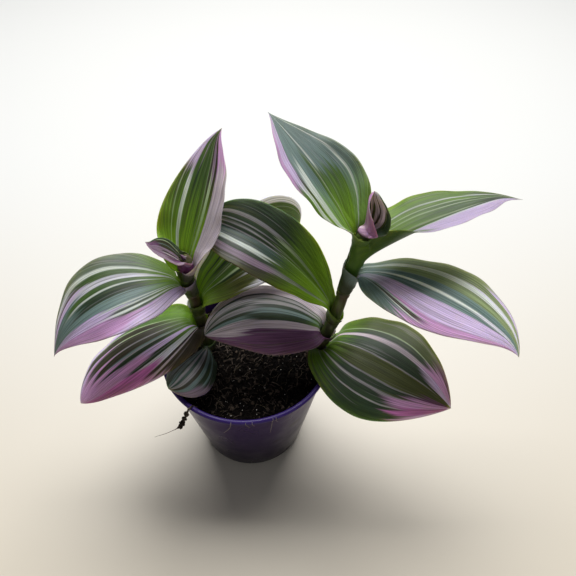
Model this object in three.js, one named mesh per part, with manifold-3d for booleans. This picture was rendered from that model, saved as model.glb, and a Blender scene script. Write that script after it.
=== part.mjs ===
// A small potted tradescantia with striped leaves, in millimetres, +Z up.
// The origin is the centre of the pot's flat base.
import * as THREE from 'three';
import { mergeVertices } from 'three/addons/utils/BufferGeometryUtils.js';
import Module from 'manifold-3d';

const wasm = await Module();
wasm.setup();

// Clearance kept between pieces that touch
const GAP = 0.3;

// Pot: a thin tapered plastic cup with a rolled lip and drain holes
const POT_RIM_RADIUS = 30;
const POT_BASE_RADIUS = 20;
const POT_HEIGHT = 50;
const POT_WALL = 1.1;
const POT_FLOOR = 1.6;
const POT_CHAMFER = 0.8;
const LIP_HEIGHT = 2.2;
const LIP_OVERHANG = 0.9;
const LIP_ROUNDING = 0.5;
const POT_SIDES = 48;
const DRAIN_RADIUS = 2.4;
const DRAIN_SIDES = 12;
const DRAIN_CIRCLE_RADIUS = 12;
const DRAIN_COUNT = 4;
const DRILL_LENGTH = 10;

// Soil: peat filled to a little under the lip, with a lumpy top
const SOIL_HEIGHT = 43.6;
const SOIL_LUMP = 0.45;
const SOIL_BROAD_SHARE = 0.6;
const SOIL_RINGS = 9;
const SOIL_SIDES = 28;

// Stems: fleshy, thinner towards the tip, with a ring at each node
const STEM_RADIUS_LOW = 2.1;
const STEM_RADIUS_HIGH = 1.8;
const STEM_TAPER_TOP = 100;
const STEM_FOOT = 38.3;
const STEM_HOLE_TOP = 47;
const STEM_SIDES = 12;
const STEM_STEPS = 34;
const STEM_TIP_LENGTH = 1.8;
const STEM_TIP_RADIUS = 0.3;
const NODE_RING = 0.35;
const NODE_RING_LENGTH = 1.1;

// Leaves: thin fleshy blades that end in a sheath, which wraps the stem. The
// starts and ends below are shares of a blade's length from its base.
const LEAF_THICKNESS = 0.64;
const LEAF_ROWS = 15;
const LEAF_ROW_POWER = 1.35;
const LEAF_STRIPS = 8;
const MIDRIB_SUBSTEPS = 6;
const TIP_HALF_WIDTH = 0.35;
const WRAP_CLEARANCE = 0.4;
const SHEATH_ROWS = 2;
const SHEATH_SLIT = 0.7;
const FLARE_LENGTH = 4;
const FLARE_POWER = 1.5;
const MOUTH_END = 0.16;
const HOOK_START = 0.86;
const UNWRAP_POWER = 1.5;
const ROLL_START = 0.3;
const FOLD_START = 0.15;
const LOBE_START = 0.12;
const LOBE_END = 0.5;

const UP = new THREE.Vector3(0, 0, 1);
const MERGE_DISTANCE = 1e-4;
const STRAIGHT = 1e-4;
const HALVINGS = 40;

// Each stem's centre line, from its foot in the soil to its growing tip
const STEMS = {
  left: {
    top: 90,
    route: [
      [-13.5, 4.5, 38],
      [-14.5, 5, 46],
      [-16, 5.5, 60],
      [-17, 6, 70],
      [-18, 5, 81],
      [-16.8, 3.8, 89],
      [-16, 3, 93],
    ],
  },
  right: {
    top: 101.4,
    route: [
      [22.5, 1, 38],
      [23.2, 0.5, 44],
      [26.8, -0.5, 56],
      [30.5, 0.5, 69],
      [33.5, 2.5, 84],
      [34.9, 2, 93],
      [36.8, 1.6, 104],
    ],
  },
};

// A leaf leaves its stem at the height `node` and heads for the direction
// `heading` in degrees, where 0 is to the right (+X) and 90 is away (+Y).
// It climbs at the angle `rise` and droops by `droop` towards its tip.
const LEAF_DEFAULTS = {
  sweep: 0, // turn of the heading towards the tip, degrees
  droopPower: 1.3, // larger values keep the droop for the tip
  roll: 0, // turn about the midrib, degrees
  fold: 10, // upward fold of the left half at the midrib, degrees
  foldRight: null, // the same for the right half, where it differs
  foldFade: 0.3, // share of the right half's fold that is lost by the tip
  curl: 0, // curvature across each half, 1/mm
  basePower: 0.62, // roundness of the outline near the base
  baseRight: null, // the same for the right half, where it differs
  tipPower: 0.95, // sharpness of the outline near the tip
  tipRight: null, // the same for the right half, where it differs
  baseOffset: 0.035, // width kept at the base
  wrap: 0.1, // share of the length over which the base opens off the stem
  wrapRight: null, // the same for the right half, where it differs
  turn: 0.14, // share of the length over which the midrib leaves the stem
  lobeLeft: 0, // backward reach of the left margin beside the base, mm
  lobeRight: 0,
  sheath: 3.2, // length of the closed sheath below the blade, mm
  mouth: 0, // how far the sheath's margins climb the stem beyond the midrib, mm
  hook: 0, // sideways turn of the tip to the left, mm
};

const LEAVES = [
  { name: 'leaf_left_1', stem: 'left', node: 46.5, heading: 275, sweep: -50, rise: 47, droop: 66,
    droopPower: 1.09, length: 28.4, width: 19.3, fold: -23, curl: -0.042, basePower: 1.42,
    tipPower: 0.66, baseOffset: 0.02, wrap: 0.09, turn: 0.1, lobeLeft: -4, sheath: 0.6,
    mouth: 1.5, hook: -0.9 },
  { name: 'leaf_left_2', stem: 'left', node: 56, heading: 212, sweep: 7, rise: 12, droop: 70,
    droopPower: 1.41, length: 53.5, width: 28.6, fold: -4, curl: -0.052, baseRight: 0.79,
    tipPower: 0.9, tipRight: 0.83, baseOffset: 0.02, wrap: 0.07, wrapRight: 0.1, turn: 0.19,
    lobeLeft: 4.5, lobeRight: -1.9, mouth: 2.4, hook: -1 },
  { name: 'leaf_left_3', stem: 'left', node: 66, heading: 37, sweep: 1, rise: 38, droop: 80,
    droopPower: 1.68, length: 48.7, width: 29, roll: 48, fold: 23, curl: 0.023, basePower: 0.8,
    tipPower: 0.41, baseOffset: 0.028, wrap: 0.08, turn: 0.12, lobeLeft: -1.2, lobeRight: 7.2,
    mouth: 1.2, hook: 0.9 },
  { name: 'leaf_left_4', stem: 'left', node: 76, heading: 204, sweep: 9, rise: 26, droop: 87,
    droopPower: 1.12, length: 54, width: 28.8, roll: -11, fold: 0, curl: 0.011, basePower: 1.1,
    baseRight: 1.32, tipPower: 1.44, wrap: 0.07, lobeLeft: 3.9, lobeRight: 3, mouth: 0.5 },
  { name: 'leaf_left_5', stem: 'left', node: 82.6, heading: 68, sweep: 9, rise: 48, droop: 11,
    droopPower: 1.25, length: 45.7, width: 24.2, roll: -4, fold: 31, curl: 0.004, basePower: 0.47,
    tipPower: 1, baseOffset: 0.033, wrap: 0.07, lobeRight: -3, sheath: 1.6, mouth: 1,
    hook: -1.4 },
  { name: 'bud_left', stem: 'left', node: 89.5, heading: 210, rise: 50, droop: 2, length: 13.8,
    width: 10.6, roll: -5, fold: 14, curl: 0.046, basePower: 0.69, tipPower: 0.85,
    baseOffset: 0.033, wrap: 0.12, sheath: 0.8, hook: -1.8 },
  { name: 'leaf_right_1', stem: 'right', node: 52.2, heading: -37, sweep: 3, rise: 15, droop: 32,
    droopPower: 1.43, length: 48.6, width: 37.5, roll: 15, fold: 0, curl: -0.019, basePower: 0.8,
    tipPower: 0.92, baseOffset: 0.036, wrap: 0.07, turn: 0.16, lobeLeft: 4.1, lobeRight: 5.7,
    sheath: 0.8 },
  { name: 'leaf_right_2', stem: 'right', node: 58, heading: 173, sweep: 31, rise: 37, droop: 74,
    droopPower: 1.4, length: 44.7, width: 28.8, roll: -6, fold: -7, curl: -0.03, basePower: 0.69,
    tipPower: 0.78, baseOffset: 0.02, wrap: 0.07, turn: 0.12, lobeLeft: 3.3, lobeRight: 1.7,
    sheath: 1.2, mouth: 2.2 },
  { name: 'leaf_right_3', stem: 'right', node: 67, heading: 161, sweep: -1, rise: 61, droop: 69,
    droopPower: 1.07, length: 53.8, width: 25, roll: -17, fold: 16, basePower: 0.88,
    tipPower: 0.46, wrap: 0.07, turn: 0.1, lobeLeft: -1.5, lobeRight: -2.7, sheath: 2.4 },
  { name: 'leaf_right_4', stem: 'right', node: 81, heading: -20, sweep: -15, rise: 27, droop: 68,
    droopPower: 1.06, length: 58.9, width: 26.9, roll: 3, fold: -2, foldRight: -8, curl: -0.016,
    basePower: 0.98, baseRight: 1, tipPower: 1, tipRight: 1.24, baseOffset: 0.03, wrap: 0.08,
    lobeLeft: 2.6, lobeRight: 1.2, mouth: 4, hook: -1.8 },
  { name: 'leaf_right_5', stem: 'right', node: 90, heading: 9, sweep: 15, rise: 43, droop: 45,
    droopPower: 0.7, length: 51.9, width: 24.8, roll: -9, fold: 27, foldRight: 53, foldFade: 0.75,
    curl: -0.021, basePower: 0.86, baseRight: 0.94, tipPower: 1.29, baseOffset: 0.02, wrap: 0.08,
    turn: 0.05, sheath: 1.4, mouth: 3, hook: -3.5 },
  { name: 'leaf_right_6', stem: 'right', node: 98.6, heading: 143, sweep: -15, rise: 40,
    droop: 19, droopPower: 1.24, length: 46.2, width: 26.8, roll: -1, fold: 16, foldRight: 6,
    curl: 0.023, basePower: 0.91, tipPower: 1.34, baseOffset: 0.02, wrap: 0.07, turn: 0.15,
    lobeLeft: -3, sheath: 0.8, mouth: 1.5 },
  { name: 'bud_right', stem: 'right', node: 103, heading: 86, rise: 89, droop: -6, length: 12.1,
    width: 16.5, roll: 25, fold: 68, foldRight: 62, curl: 0.08, basePower: 0.53, tipPower: 0.46,
    baseOffset: 0.036, sheath: 0.5, hook: -2.4 },
];

// Colours, with roughness, seen on the plant
const LOOKS = {
  pot: [0x4b3568, 0.45],
  soil: [0x1d1713, 0.95],
  stem: [0x3f4a2b, 0.55],
  leaf: [0x5f7f5c, 0.5],
  bud: [0x9a7f93, 0.5],
};

// Geometry helpers

function signedVolume(geometry) {
  const position = geometry.getAttribute('position');
  const index = geometry.getIndex();
  const a = new THREE.Vector3();
  const b = new THREE.Vector3();
  const c = new THREE.Vector3();
  let volume = 0;
  for (let i = 0; i < index.count; i += 3) {
    a.fromBufferAttribute(position, index.getX(i));
    b.fromBufferAttribute(position, index.getX(i + 1));
    c.fromBufferAttribute(position, index.getX(i + 2));
    volume += a.dot(b.cross(c)) / 6;
  }
  return volume;
}

// One closed body with shared vertices and its faces pointing out
function closedBody(geometry) {
  geometry.deleteAttribute('normal');
  geometry.deleteAttribute('uv');
  const merged = mergeVertices(geometry, MERGE_DISTANCE);
  const old = merged.getIndex().array;
  const kept = [];
  for (let i = 0; i < old.length; i += 3) {
    const [a, b, c] = [old[i], old[i + 1], old[i + 2]];
    if (a !== b && b !== c && c !== a) kept.push(a, b, c);
  }
  merged.setIndex(kept);
  if (signedVolume(merged) < 0) merged.setIndex(kept.reverse());
  return merged;
}

function toSolid(geometry) {
  return new wasm.Manifold(new wasm.Mesh({
    numProp: 3,
    vertProperties: new Float32Array(geometry.getAttribute('position').array),
    triVerts: new Uint32Array(geometry.getIndex().array),
  }));
}

function toGeometry(solid) {
  const mesh = solid.getMesh();
  const geometry = new THREE.BufferGeometry();
  geometry.setAttribute('position', new THREE.BufferAttribute(mesh.vertProperties, 3));
  geometry.setIndex(new THREE.BufferAttribute(mesh.triVerts, 1));
  return geometry;
}

// A body turned about the Z axis from [radius, height] points
function turned(profile, sides) {
  const points = profile.map(([radius, height]) => new THREE.Vector2(radius, height));
  const lathe = new THREE.LatheGeometry(points, sides);
  lathe.rotateX(Math.PI / 2);
  return closedBody(lathe);
}

// The capped skin over a stack of rings that have the same number of points
function ringSkin(rings) {
  const sides = rings[0].length;
  const positions = rings.flat().flatMap((p) => [p.x, p.y, p.z]);
  const index = [];
  for (let r = 0; r + 1 < rings.length; r += 1) {
    for (let s = 0; s < sides; s += 1) {
      const a = r * sides + s;
      const b = r * sides + ((s + 1) % sides);
      index.push(a, b, b + sides, a, b + sides, a + sides);
    }
  }
  const last = (rings.length - 1) * sides;
  for (let s = 1; s + 1 < sides; s += 1) {
    index.push(0, s + 1, s);
    index.push(last, last + s, last + s + 1);
  }
  const geometry = new THREE.BufferGeometry();
  geometry.setAttribute('position', new THREE.Float32BufferAttribute(positions, 3));
  geometry.setIndex(index);
  return closedBody(geometry);
}

// Pot

function wallRadius(height) {
  const top = POT_RIM_RADIUS - LIP_OVERHANG;
  return THREE.MathUtils.lerp(POT_BASE_RADIUS, top, height / POT_HEIGHT);
}

function innerRadius(height) {
  return wallRadius(height) - POT_WALL;
}

function potGeometry() {
  const lipUnder = POT_HEIGHT - LIP_HEIGHT;
  const inside = innerRadius(POT_HEIGHT);
  let pot = toSolid(turned([
    [0, 0],
    [POT_BASE_RADIUS - POT_CHAMFER, 0],
    [wallRadius(POT_CHAMFER), POT_CHAMFER],
    [wallRadius(lipUnder), lipUnder],
    [POT_RIM_RADIUS - LIP_ROUNDING / 2, lipUnder + LIP_ROUNDING / 4],
    [POT_RIM_RADIUS, lipUnder + LIP_ROUNDING],
    [POT_RIM_RADIUS, POT_HEIGHT - LIP_ROUNDING],
    [POT_RIM_RADIUS - LIP_ROUNDING, POT_HEIGHT],
    [inside + LIP_ROUNDING, POT_HEIGHT],
    [inside, POT_HEIGHT - LIP_ROUNDING],
    [innerRadius(POT_FLOOR), POT_FLOOR],
    [0, POT_FLOOR],
  ], POT_SIDES));
  for (let i = 0; i < DRAIN_COUNT; i += 1) {
    const angle = (i + 0.5) * (2 * Math.PI / DRAIN_COUNT);
    const drill = new THREE.CylinderGeometry(DRAIN_RADIUS, DRAIN_RADIUS, DRILL_LENGTH, DRAIN_SIDES);
    drill.rotateX(Math.PI / 2);
    drill.translate(
      DRAIN_CIRCLE_RADIUS * Math.cos(angle),
      DRAIN_CIRCLE_RADIUS * Math.sin(angle),
      0,
    );
    pot = pot.subtract(toSolid(closedBody(drill)));
  }
  return toGeometry(pot);
}

// Stems

function stemCurve(stem) {
  const points = STEMS[stem].route.map((p) => new THREE.Vector3(...p));
  return new THREE.CatmullRomCurve3(points, false, 'catmullrom', 0.5);
}

// The centre line's point and direction at a height
function stemAt(stem, height) {
  const curve = stemCurve(stem);
  let low = 0;
  let high = 1;
  for (let i = 0; i < HALVINGS; i += 1) {
    const middle = (low + high) / 2;
    if (curve.getPoint(middle).z < height) low = middle;
    else high = middle;
  }
  return { point: curve.getPoint(low), direction: curve.getTangent(low) };
}

function stemRadius(height) {
  const along = (height - STEM_FOOT) / (STEM_TAPER_TOP - STEM_FOOT);
  return THREE.MathUtils.lerp(STEM_RADIUS_LOW, STEM_RADIUS_HIGH, along);
}

// The swollen rings sit just under the sheaths
function nodeRing(stem, height) {
  let swell = 0;
  for (const leaf of LEAVES) {
    if (leaf.stem !== stem || leaf.node - STEM_HOLE_TOP < NODE_RING_LENGTH) continue;
    const sheath = leaf.sheath ?? LEAF_DEFAULTS.sheath;
    const away = height - (leaf.node - sheath - NODE_RING_LENGTH);
    swell = Math.max(swell, NODE_RING * (1 - (away / NODE_RING_LENGTH) ** 2));
  }
  return swell;
}

function circleRing(centre, direction, radius) {
  const side = new THREE.Vector3(0, 1, 0).cross(direction).normalize();
  const other = new THREE.Vector3().crossVectors(direction, side);
  const ring = [];
  for (let s = 0; s < STEM_SIDES; s += 1) {
    const angle = (s / STEM_SIDES) * 2 * Math.PI;
    ring.push(centre.clone()
      .addScaledVector(side, radius * Math.cos(angle))
      .addScaledVector(other, radius * Math.sin(angle)));
  }
  return ring;
}

function stemGeometry(stem) {
  const top = STEMS[stem].top;
  const rings = [];
  for (let i = 0; i <= STEM_STEPS; i += 1) {
    const height = THREE.MathUtils.lerp(STEM_FOOT, top, i / STEM_STEPS);
    const { point, direction } = stemAt(stem, height);
    rings.push(circleRing(point, direction, stemRadius(height) + nodeRing(stem, height)));
  }
  const end = stemAt(stem, top);
  const apex = end.point.clone().addScaledVector(end.direction, STEM_TIP_LENGTH);
  rings.push(circleRing(apex, end.direction, STEM_TIP_RADIUS));
  return ringSkin(rings);
}

function stemHole(stem) {
  const rings = [];
  for (const height of [STEM_FOOT - GAP, (STEM_FOOT + STEM_HOLE_TOP) / 2, STEM_HOLE_TOP]) {
    const { point, direction } = stemAt(stem, height);
    rings.push(circleRing(point, direction, stemRadius(height) + GAP));
  }
  return toSolid(ringSkin(rings));
}

// Soil

// Crossed waves, with their lengths and starts chosen so that none repeat
function soilLump(x, y) {
  const broad = Math.sin(0.31 * x + 1.3) * Math.cos(0.27 * y - 0.4);
  const fine = Math.sin(0.83 * x - 0.9 * y) * Math.cos(0.71 * y + 0.6 * x);
  return SOIL_LUMP * THREE.MathUtils.lerp(fine, broad, SOIL_BROAD_SHARE);
}

function soilGeometry() {
  const bottom = POT_FLOOR + GAP;
  const edge = innerRadius(SOIL_HEIGHT) - GAP;
  const profile = [[0, bottom], [innerRadius(bottom) - GAP, bottom]];
  for (let ring = SOIL_RINGS; ring >= 0; ring -= 1) {
    profile.push([edge * (ring / SOIL_RINGS), SOIL_HEIGHT]);
  }
  const heap = turned(profile, SOIL_SIDES);
  const position = heap.getAttribute('position');
  for (let i = 0; i < position.count; i += 1) {
    const inner = Math.hypot(position.getX(i), position.getY(i)) < edge - GAP;
    if (inner && position.getZ(i) > bottom + GAP) {
      position.setZ(i, SOIL_HEIGHT + soilLump(position.getX(i), position.getY(i)));
    }
  }
  const holes = Object.keys(STEMS).map(stemHole);
  return toGeometry(holes.reduce((soil, hole) => soil.subtract(hole), toSolid(heap)));
}

// Leaves

const radians = THREE.MathUtils.degToRad;

function ease(x) {
  return THREE.MathUtils.smoothstep(x, 0, 1);
}

// The midrib's direction, the blade's normal and its left side at t, from 0 to 1
function leafFrame(leaf, root, t) {
  const heading = radians(leaf.heading + leaf.sweep * t);
  const angle = radians(leaf.rise - leaf.droop * t ** leaf.droopPower);
  const flat = new THREE.Vector3(Math.cos(heading), Math.sin(heading), 0);
  const released = ease(t / leaf.turn);
  const along = flat.clone().multiplyScalar(Math.cos(angle)).addScaledVector(UP, Math.sin(angle));
  along.multiplyScalar(released).addScaledVector(root.direction, 1 - released).normalize();
  const normal = UP.clone().multiplyScalar(Math.cos(angle)).addScaledVector(flat, -Math.sin(angle));
  normal.multiplyScalar(released).addScaledVector(root.outward, released - 1);
  normal.addScaledVector(along, -normal.dot(along)).normalize();
  const side = new THREE.Vector3().crossVectors(normal, along);
  const roll = radians(leaf.roll) * ease(t / ROLL_START);
  side.applyAxisAngle(along, roll);
  normal.applyAxisAngle(along, roll);
  return { along, normal, side };
}

// Where the leaf starts on its stem
function leafRoot(leaf) {
  const { point, direction } = stemAt(leaf.stem, leaf.node);
  const heading = radians(leaf.heading);
  const outward = new THREE.Vector3(Math.cos(heading), Math.sin(heading), 0);
  outward.addScaledVector(direction, -outward.dot(direction)).normalize();
  const wrapRadius = stemRadius(leaf.node) + GAP + WRAP_CLEARANCE + LEAF_THICKNESS / 2;
  return { point, direction, outward, wrapRadius };
}

// A half's own numbers: the right half's differ where the leaf says so
function halfOf(leaf, left) {
  if (left) {
    return {
      fold: leaf.fold,
      fade: LEAF_DEFAULTS.foldFade,
      lobe: leaf.lobeLeft,
      base: leaf.basePower,
      tip: leaf.tipPower,
      wrap: leaf.wrap,
    };
  }
  return {
    fold: leaf.foldRight ?? leaf.fold,
    fade: leaf.foldFade,
    lobe: leaf.lobeRight,
    base: leaf.baseRight ?? leaf.basePower,
    tip: leaf.tipRight ?? leaf.tipPower,
    wrap: leaf.wrapRight ?? leaf.wrap,
  };
}

// Half-width along the blade: a rounded base and a long pointed tip
function bladeHalfWidth(leaf, { base, tip }, t) {
  const shape = (x) => (x + leaf.baseOffset) ** base * (1 - x) ** tip;
  const widest = (base - tip * leaf.baseOffset) / (base + tip);
  return Math.max(leaf.width / 2 * shape(t) / shape(widest), TIP_HALF_WIDTH);
}

// The mouth of the sheath is oblique: its margins climb the stem
function mouthClimb(leaf, root, v, share) {
  const climb = leaf.mouth * v ** 2 * share;
  return stemAt(leaf.stem, leaf.node + climb).point.sub(root.point);
}

// Where a point `reach` away from the midrib lies across an arc of a blade
function across(reach, fold, curvature) {
  const bend = Math.abs(curvature) < STRAIGHT ? STRAIGHT : curvature;
  return {
    out: (Math.sin(fold + bend * reach) - Math.sin(fold)) / bend,
    up: (Math.cos(fold) - Math.cos(fold + bend * reach)) / bend,
  };
}

// One row of middle-surface points, from the right margin to the left one
function leafRow(leaf, root, midrib, frame, t, mouthShare) {
  const sheathHalf = Math.PI * root.wrapRadius - SHEATH_SLIT / 2;
  const flare = Math.max(0, 1 - t * leaf.length / FLARE_LENGTH) ** FLARE_POWER;
  const hook = leaf.hook * Math.max(0, (t - HOOK_START) / (1 - HOOK_START)) ** 2;
  const row = [];
  for (let s = 0; s <= LEAF_STRIPS; s += 1) {
    const v = 2 * s / LEAF_STRIPS - 1;
    const half = halfOf(leaf, v >= 0);
    const extra = Math.max(sheathHalf - bladeHalfWidth(leaf, half, 0), 0);
    const halfWidth = bladeHalfWidth(leaf, half, t) + extra * flare;
    const wrapped = Math.exp(-((t / half.wrap) ** UNWRAP_POWER));
    const curvature = wrapped / root.wrapRadius + leaf.curl * (1 - wrapped);
    const fold = radians(half.fold) * ease(t / FOLD_START) * (1 - half.fade * t);
    const { out, up } = across(Math.abs(v) * halfWidth, fold, curvature);
    const lobeFade = Math.max(0, 1 - t / LOBE_END) ** 2 * ease(t / LOBE_START);
    row.push(midrib.clone()
      .addScaledVector(frame.side, Math.sign(v) * out + hook)
      .addScaledVector(frame.normal, up)
      .addScaledVector(frame.along, -half.lobe * v ** 2 * lobeFade)
      .add(mouthClimb(leaf, root, v, mouthShare)));
  }
  return row;
}

function leafRows(leaf) {
  const root = leafRoot(leaf);
  const start = root.point.clone().addScaledVector(root.outward, root.wrapRadius);
  const rows = [];
  const first = leafFrame(leaf, root, 0);
  for (let i = SHEATH_ROWS; i > 0; i -= 1) {
    const down = leaf.sheath * (i / SHEATH_ROWS);
    const below = start.clone().addScaledVector(root.direction, -down);
    rows.push(leafRow(leaf, root, below, first, 0, 1 - i / SHEATH_ROWS));
  }
  const midrib = start.clone();
  let t = 0;
  rows.push(leafRow(leaf, root, midrib, first, 0, 1));
  for (let i = 1; i <= LEAF_ROWS; i += 1) {
    const next = (i / LEAF_ROWS) ** LEAF_ROW_POWER;
    const step = (next - t) / MIDRIB_SUBSTEPS;
    for (let k = 0; k < MIDRIB_SUBSTEPS; k += 1) {
      midrib.addScaledVector(leafFrame(leaf, root, t + step / 2).along, step * leaf.length);
      t += step;
    }
    t = Math.min(t, 1);
    const mouthShare = Math.max(0, 1 - t / MOUTH_END) ** 2;
    rows.push(leafRow(leaf, root, midrib, leafFrame(leaf, root, t), t, mouthShare));
  }
  return rows;
}

// Normals of a grid of points, from the neighbours along and across
function gridNormals(rows) {
  return rows.map((row, r) => row.map((point, s) => {
    const ahead = rows[Math.min(r + 1, rows.length - 1)][s];
    const behind = rows[Math.max(r - 1, 0)][s];
    const leftward = row[Math.min(s + 1, row.length - 1)];
    const rightward = row[Math.max(s - 1, 0)];
    const along = new THREE.Vector3().subVectors(ahead, behind);
    const side = new THREE.Vector3().subVectors(leftward, rightward);
    return along.cross(side).normalize();
  }));
}

// A blade of even thickness: both faces are split into triangles alike
function bladeGeometry(rows) {
  const normals = gridNormals(rows);
  const half = LEAF_THICKNESS / 2;
  const shift = (distance) => rows.map((row, r) => row.map(
    (p, s) => p.clone().addScaledVector(normals[r][s], distance),
  ));
  const points = [...shift(half).flat(), ...shift(-half).flat()];
  const columns = rows[0].length;
  const under = rows.length * columns;
  const index = [];
  for (let r = 0; r + 1 < rows.length; r += 1) {
    for (let s = 0; s + 1 < columns; s += 1) {
      const a = r * columns + s;
      const b = a + 1;
      const c = a + columns + 1;
      const d = a + columns;
      index.push(a, b, c, a, c, d);
      index.push(under + a, under + c, under + b, under + a, under + d, under + c);
    }
  }
  const wall = (a, b) => index.push(a, under + a, under + b, a, under + b, b);
  const lastRow = (rows.length - 1) * columns;
  for (let s = 0; s + 1 < columns; s += 1) {
    wall(s, s + 1);
    wall(lastRow + s + 1, lastRow + s);
  }
  for (let r = 0; r + 1 < rows.length; r += 1) {
    wall((r + 1) * columns, r * columns);
    wall(r * columns + columns - 1, (r + 1) * columns + columns - 1);
  }
  const geometry = new THREE.BufferGeometry();
  const positions = points.flatMap((p) => [p.x, p.y, p.z]);
  geometry.setAttribute('position', new THREE.Float32BufferAttribute(positions, 3));
  geometry.setIndex(index);
  return closedBody(geometry);
}

// Assembly

const plant = new THREE.Group();

function addPiece(name, geometry, look) {
  const [color, roughness] = LOOKS[look];
  const material = new THREE.MeshStandardMaterial({ color, roughness, metalness: 0 });
  const mesh = new THREE.Mesh(geometry, material);
  mesh.name = name;
  plant.add(mesh);
}

addPiece('pot', potGeometry(), 'pot');
addPiece('soil', soilGeometry(), 'soil');
for (const stem of Object.keys(STEMS)) {
  addPiece(`stem_${stem}`, stemGeometry(stem), 'stem');
}
for (const spec of LEAVES) {
  const leaf = { ...LEAF_DEFAULTS, ...spec };
  const look = leaf.name.startsWith('bud') ? 'bud' : 'leaf';
  addPiece(leaf.name, bladeGeometry(leafRows(leaf)), look);
}

export default plant;
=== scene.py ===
# %% [markdown]
# # A small potted tradescantia
#
# Two fleshy stems with long striped leaves stand in a thin violet nursery pot.
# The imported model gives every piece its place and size. This notebook dresses
# it, from the pot up to the growing tips. Lengths are written in millimetres
# and turned into metres where a mesh is made.

# %% Load the frame
import math

import bpy
import numpy as np
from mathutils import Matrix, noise


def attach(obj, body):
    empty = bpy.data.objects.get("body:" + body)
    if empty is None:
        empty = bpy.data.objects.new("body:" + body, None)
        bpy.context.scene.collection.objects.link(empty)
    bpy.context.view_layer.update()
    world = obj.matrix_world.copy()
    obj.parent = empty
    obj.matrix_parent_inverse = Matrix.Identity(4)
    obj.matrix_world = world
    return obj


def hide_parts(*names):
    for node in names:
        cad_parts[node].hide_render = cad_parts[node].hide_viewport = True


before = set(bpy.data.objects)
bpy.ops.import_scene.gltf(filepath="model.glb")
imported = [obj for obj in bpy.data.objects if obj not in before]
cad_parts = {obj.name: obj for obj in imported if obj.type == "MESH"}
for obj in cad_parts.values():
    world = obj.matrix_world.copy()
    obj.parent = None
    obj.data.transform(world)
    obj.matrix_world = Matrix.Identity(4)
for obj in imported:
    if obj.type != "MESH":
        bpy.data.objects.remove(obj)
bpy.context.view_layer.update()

MM = 0.001
BODY = "root"
print("nodes in the frame:", len(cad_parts))

# %% [markdown]
# ## Camera
#
# The plant is seen from above the front of the pot, looking steeply down.
# A wide lens close by gives the strong perspective of the picture. The place
# and the pitch came from a program that fitted them to points of the pot's rim,
# wall and base, read by eye, and were then rounded.

# %% Place the camera
CAMERA_PLACE = (14.5, -118.2, 210.0)
CAMERA_PITCH = 47.5
CAMERA_LENS = 35.0
CAMERA_SENSOR = 36.0

camera_data = bpy.data.cameras.new("camera")
camera_data.lens = CAMERA_LENS
camera_data.sensor_width = CAMERA_SENSOR
camera_data.clip_start = 0.01
camera = bpy.data.objects.new("camera", camera_data)
camera.location = [value * MM for value in CAMERA_PLACE]
camera.rotation_euler = (math.radians(90 - CAMERA_PITCH), 0, 0)
bpy.context.collection.objects.link(camera)
bpy.context.scene.camera = camera
bpy.context.scene.view_settings.view_transform = "Standard"
print("camera height:", CAMERA_PLACE[2], "mm")

# %% [markdown]
# ## Making pieces
#
# A finished piece is a mesh object at the origin that rides on the one body.
# These helpers make one from points and faces, hide the node that it stands
# for, and print its number of faces and its box.


# %% Helpers for pieces
def new_object(name, data):
    thing = bpy.data.objects.new(name, data)
    bpy.context.collection.objects.link(thing)
    return thing


def plain_mesh(thing):
    """The mesh of an object with its modifiers applied."""
    depsgraph = bpy.context.evaluated_depsgraph_get()
    return bpy.data.meshes.new_from_object(thing.evaluated_get(depsgraph))


def box_text(low, high):
    return " ".join(f"{a / MM:.1f}..{b / MM:.1f}" for a, b in zip(low, high))


def mesh_box(mesh):
    points = np.empty(len(mesh.vertices) * 3)
    mesh.vertices.foreach_get("co", points)
    points = points.reshape(-1, 3)
    return points.min(axis=0), points.max(axis=0)


def mesh_from(name, points, faces):
    mesh = bpy.data.meshes.new(name)
    mesh.from_pydata((np.asarray(points) * MM).tolist(), [], faces)
    return mesh


def add_piece(name, mesh, replaced=None, smooth=True):
    mesh.polygons.foreach_set("use_smooth", [smooth] * len(mesh.polygons))
    mesh.update()
    piece = new_object(name, mesh)
    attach(piece, BODY)
    if replaced:
        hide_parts(replaced)
    print(f"{name}: {len(mesh.polygons)} faces,", box_text(*mesh_box(mesh)))
    return piece


# %% [markdown]
# ## Making materials
#
# Every finish is a small tree of shader nodes. `add_node` adds one node,
# sets what is a plain value and links what is another node's socket.
# Colours are named screen colours, first picked by eye and then moved closer
# to averages measured in the photo and the render. They have to be turned into
# the linear light that the renderer counts in.


# %% Helpers for materials
def feed(tree, socket, value):
    if isinstance(value, bpy.types.NodeSocket):
        tree.links.new(value, socket)
    else:
        socket.default_value = value


def add_node(tree, kind, settings=None, inputs=None):
    made = tree.nodes.new(kind)
    for name, value in (settings or {}).items():
        setattr(made, name, value)
    for name, value in (inputs or {}).items():
        feed(tree, made.inputs[name], value)
    return made


def object_place(tree):
    return add_node(tree, "ShaderNodeTexCoord").outputs["Object"]


def calculate(tree, operation, first, second=0.0, third=0.0):
    sockets = {0: first, 1: second, 2: third}
    return add_node(tree, "ShaderNodeMath", {"operation": operation}, sockets).outputs[0]


def mix_colours(tree, factor, first, second, blend="MIX"):
    mix = add_node(tree, "ShaderNodeMix", {"data_type": "RGBA", "blend_type": blend})
    for socket, value in ((0, factor), (6, first), (7, second)):
        feed(tree, mix.inputs[socket], value)
    return mix.outputs[2]


def fade_between(tree, value, low, high, to_low=0.0, to_high=1.0):
    sockets = {"Value": value, "From Min": low, "From Max": high,
               "To Min": to_low, "To Max": to_high}
    settings = {"interpolation_type": "SMOOTHSTEP"}
    return add_node(tree, "ShaderNodeMapRange", settings, sockets).outputs[0]


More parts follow.
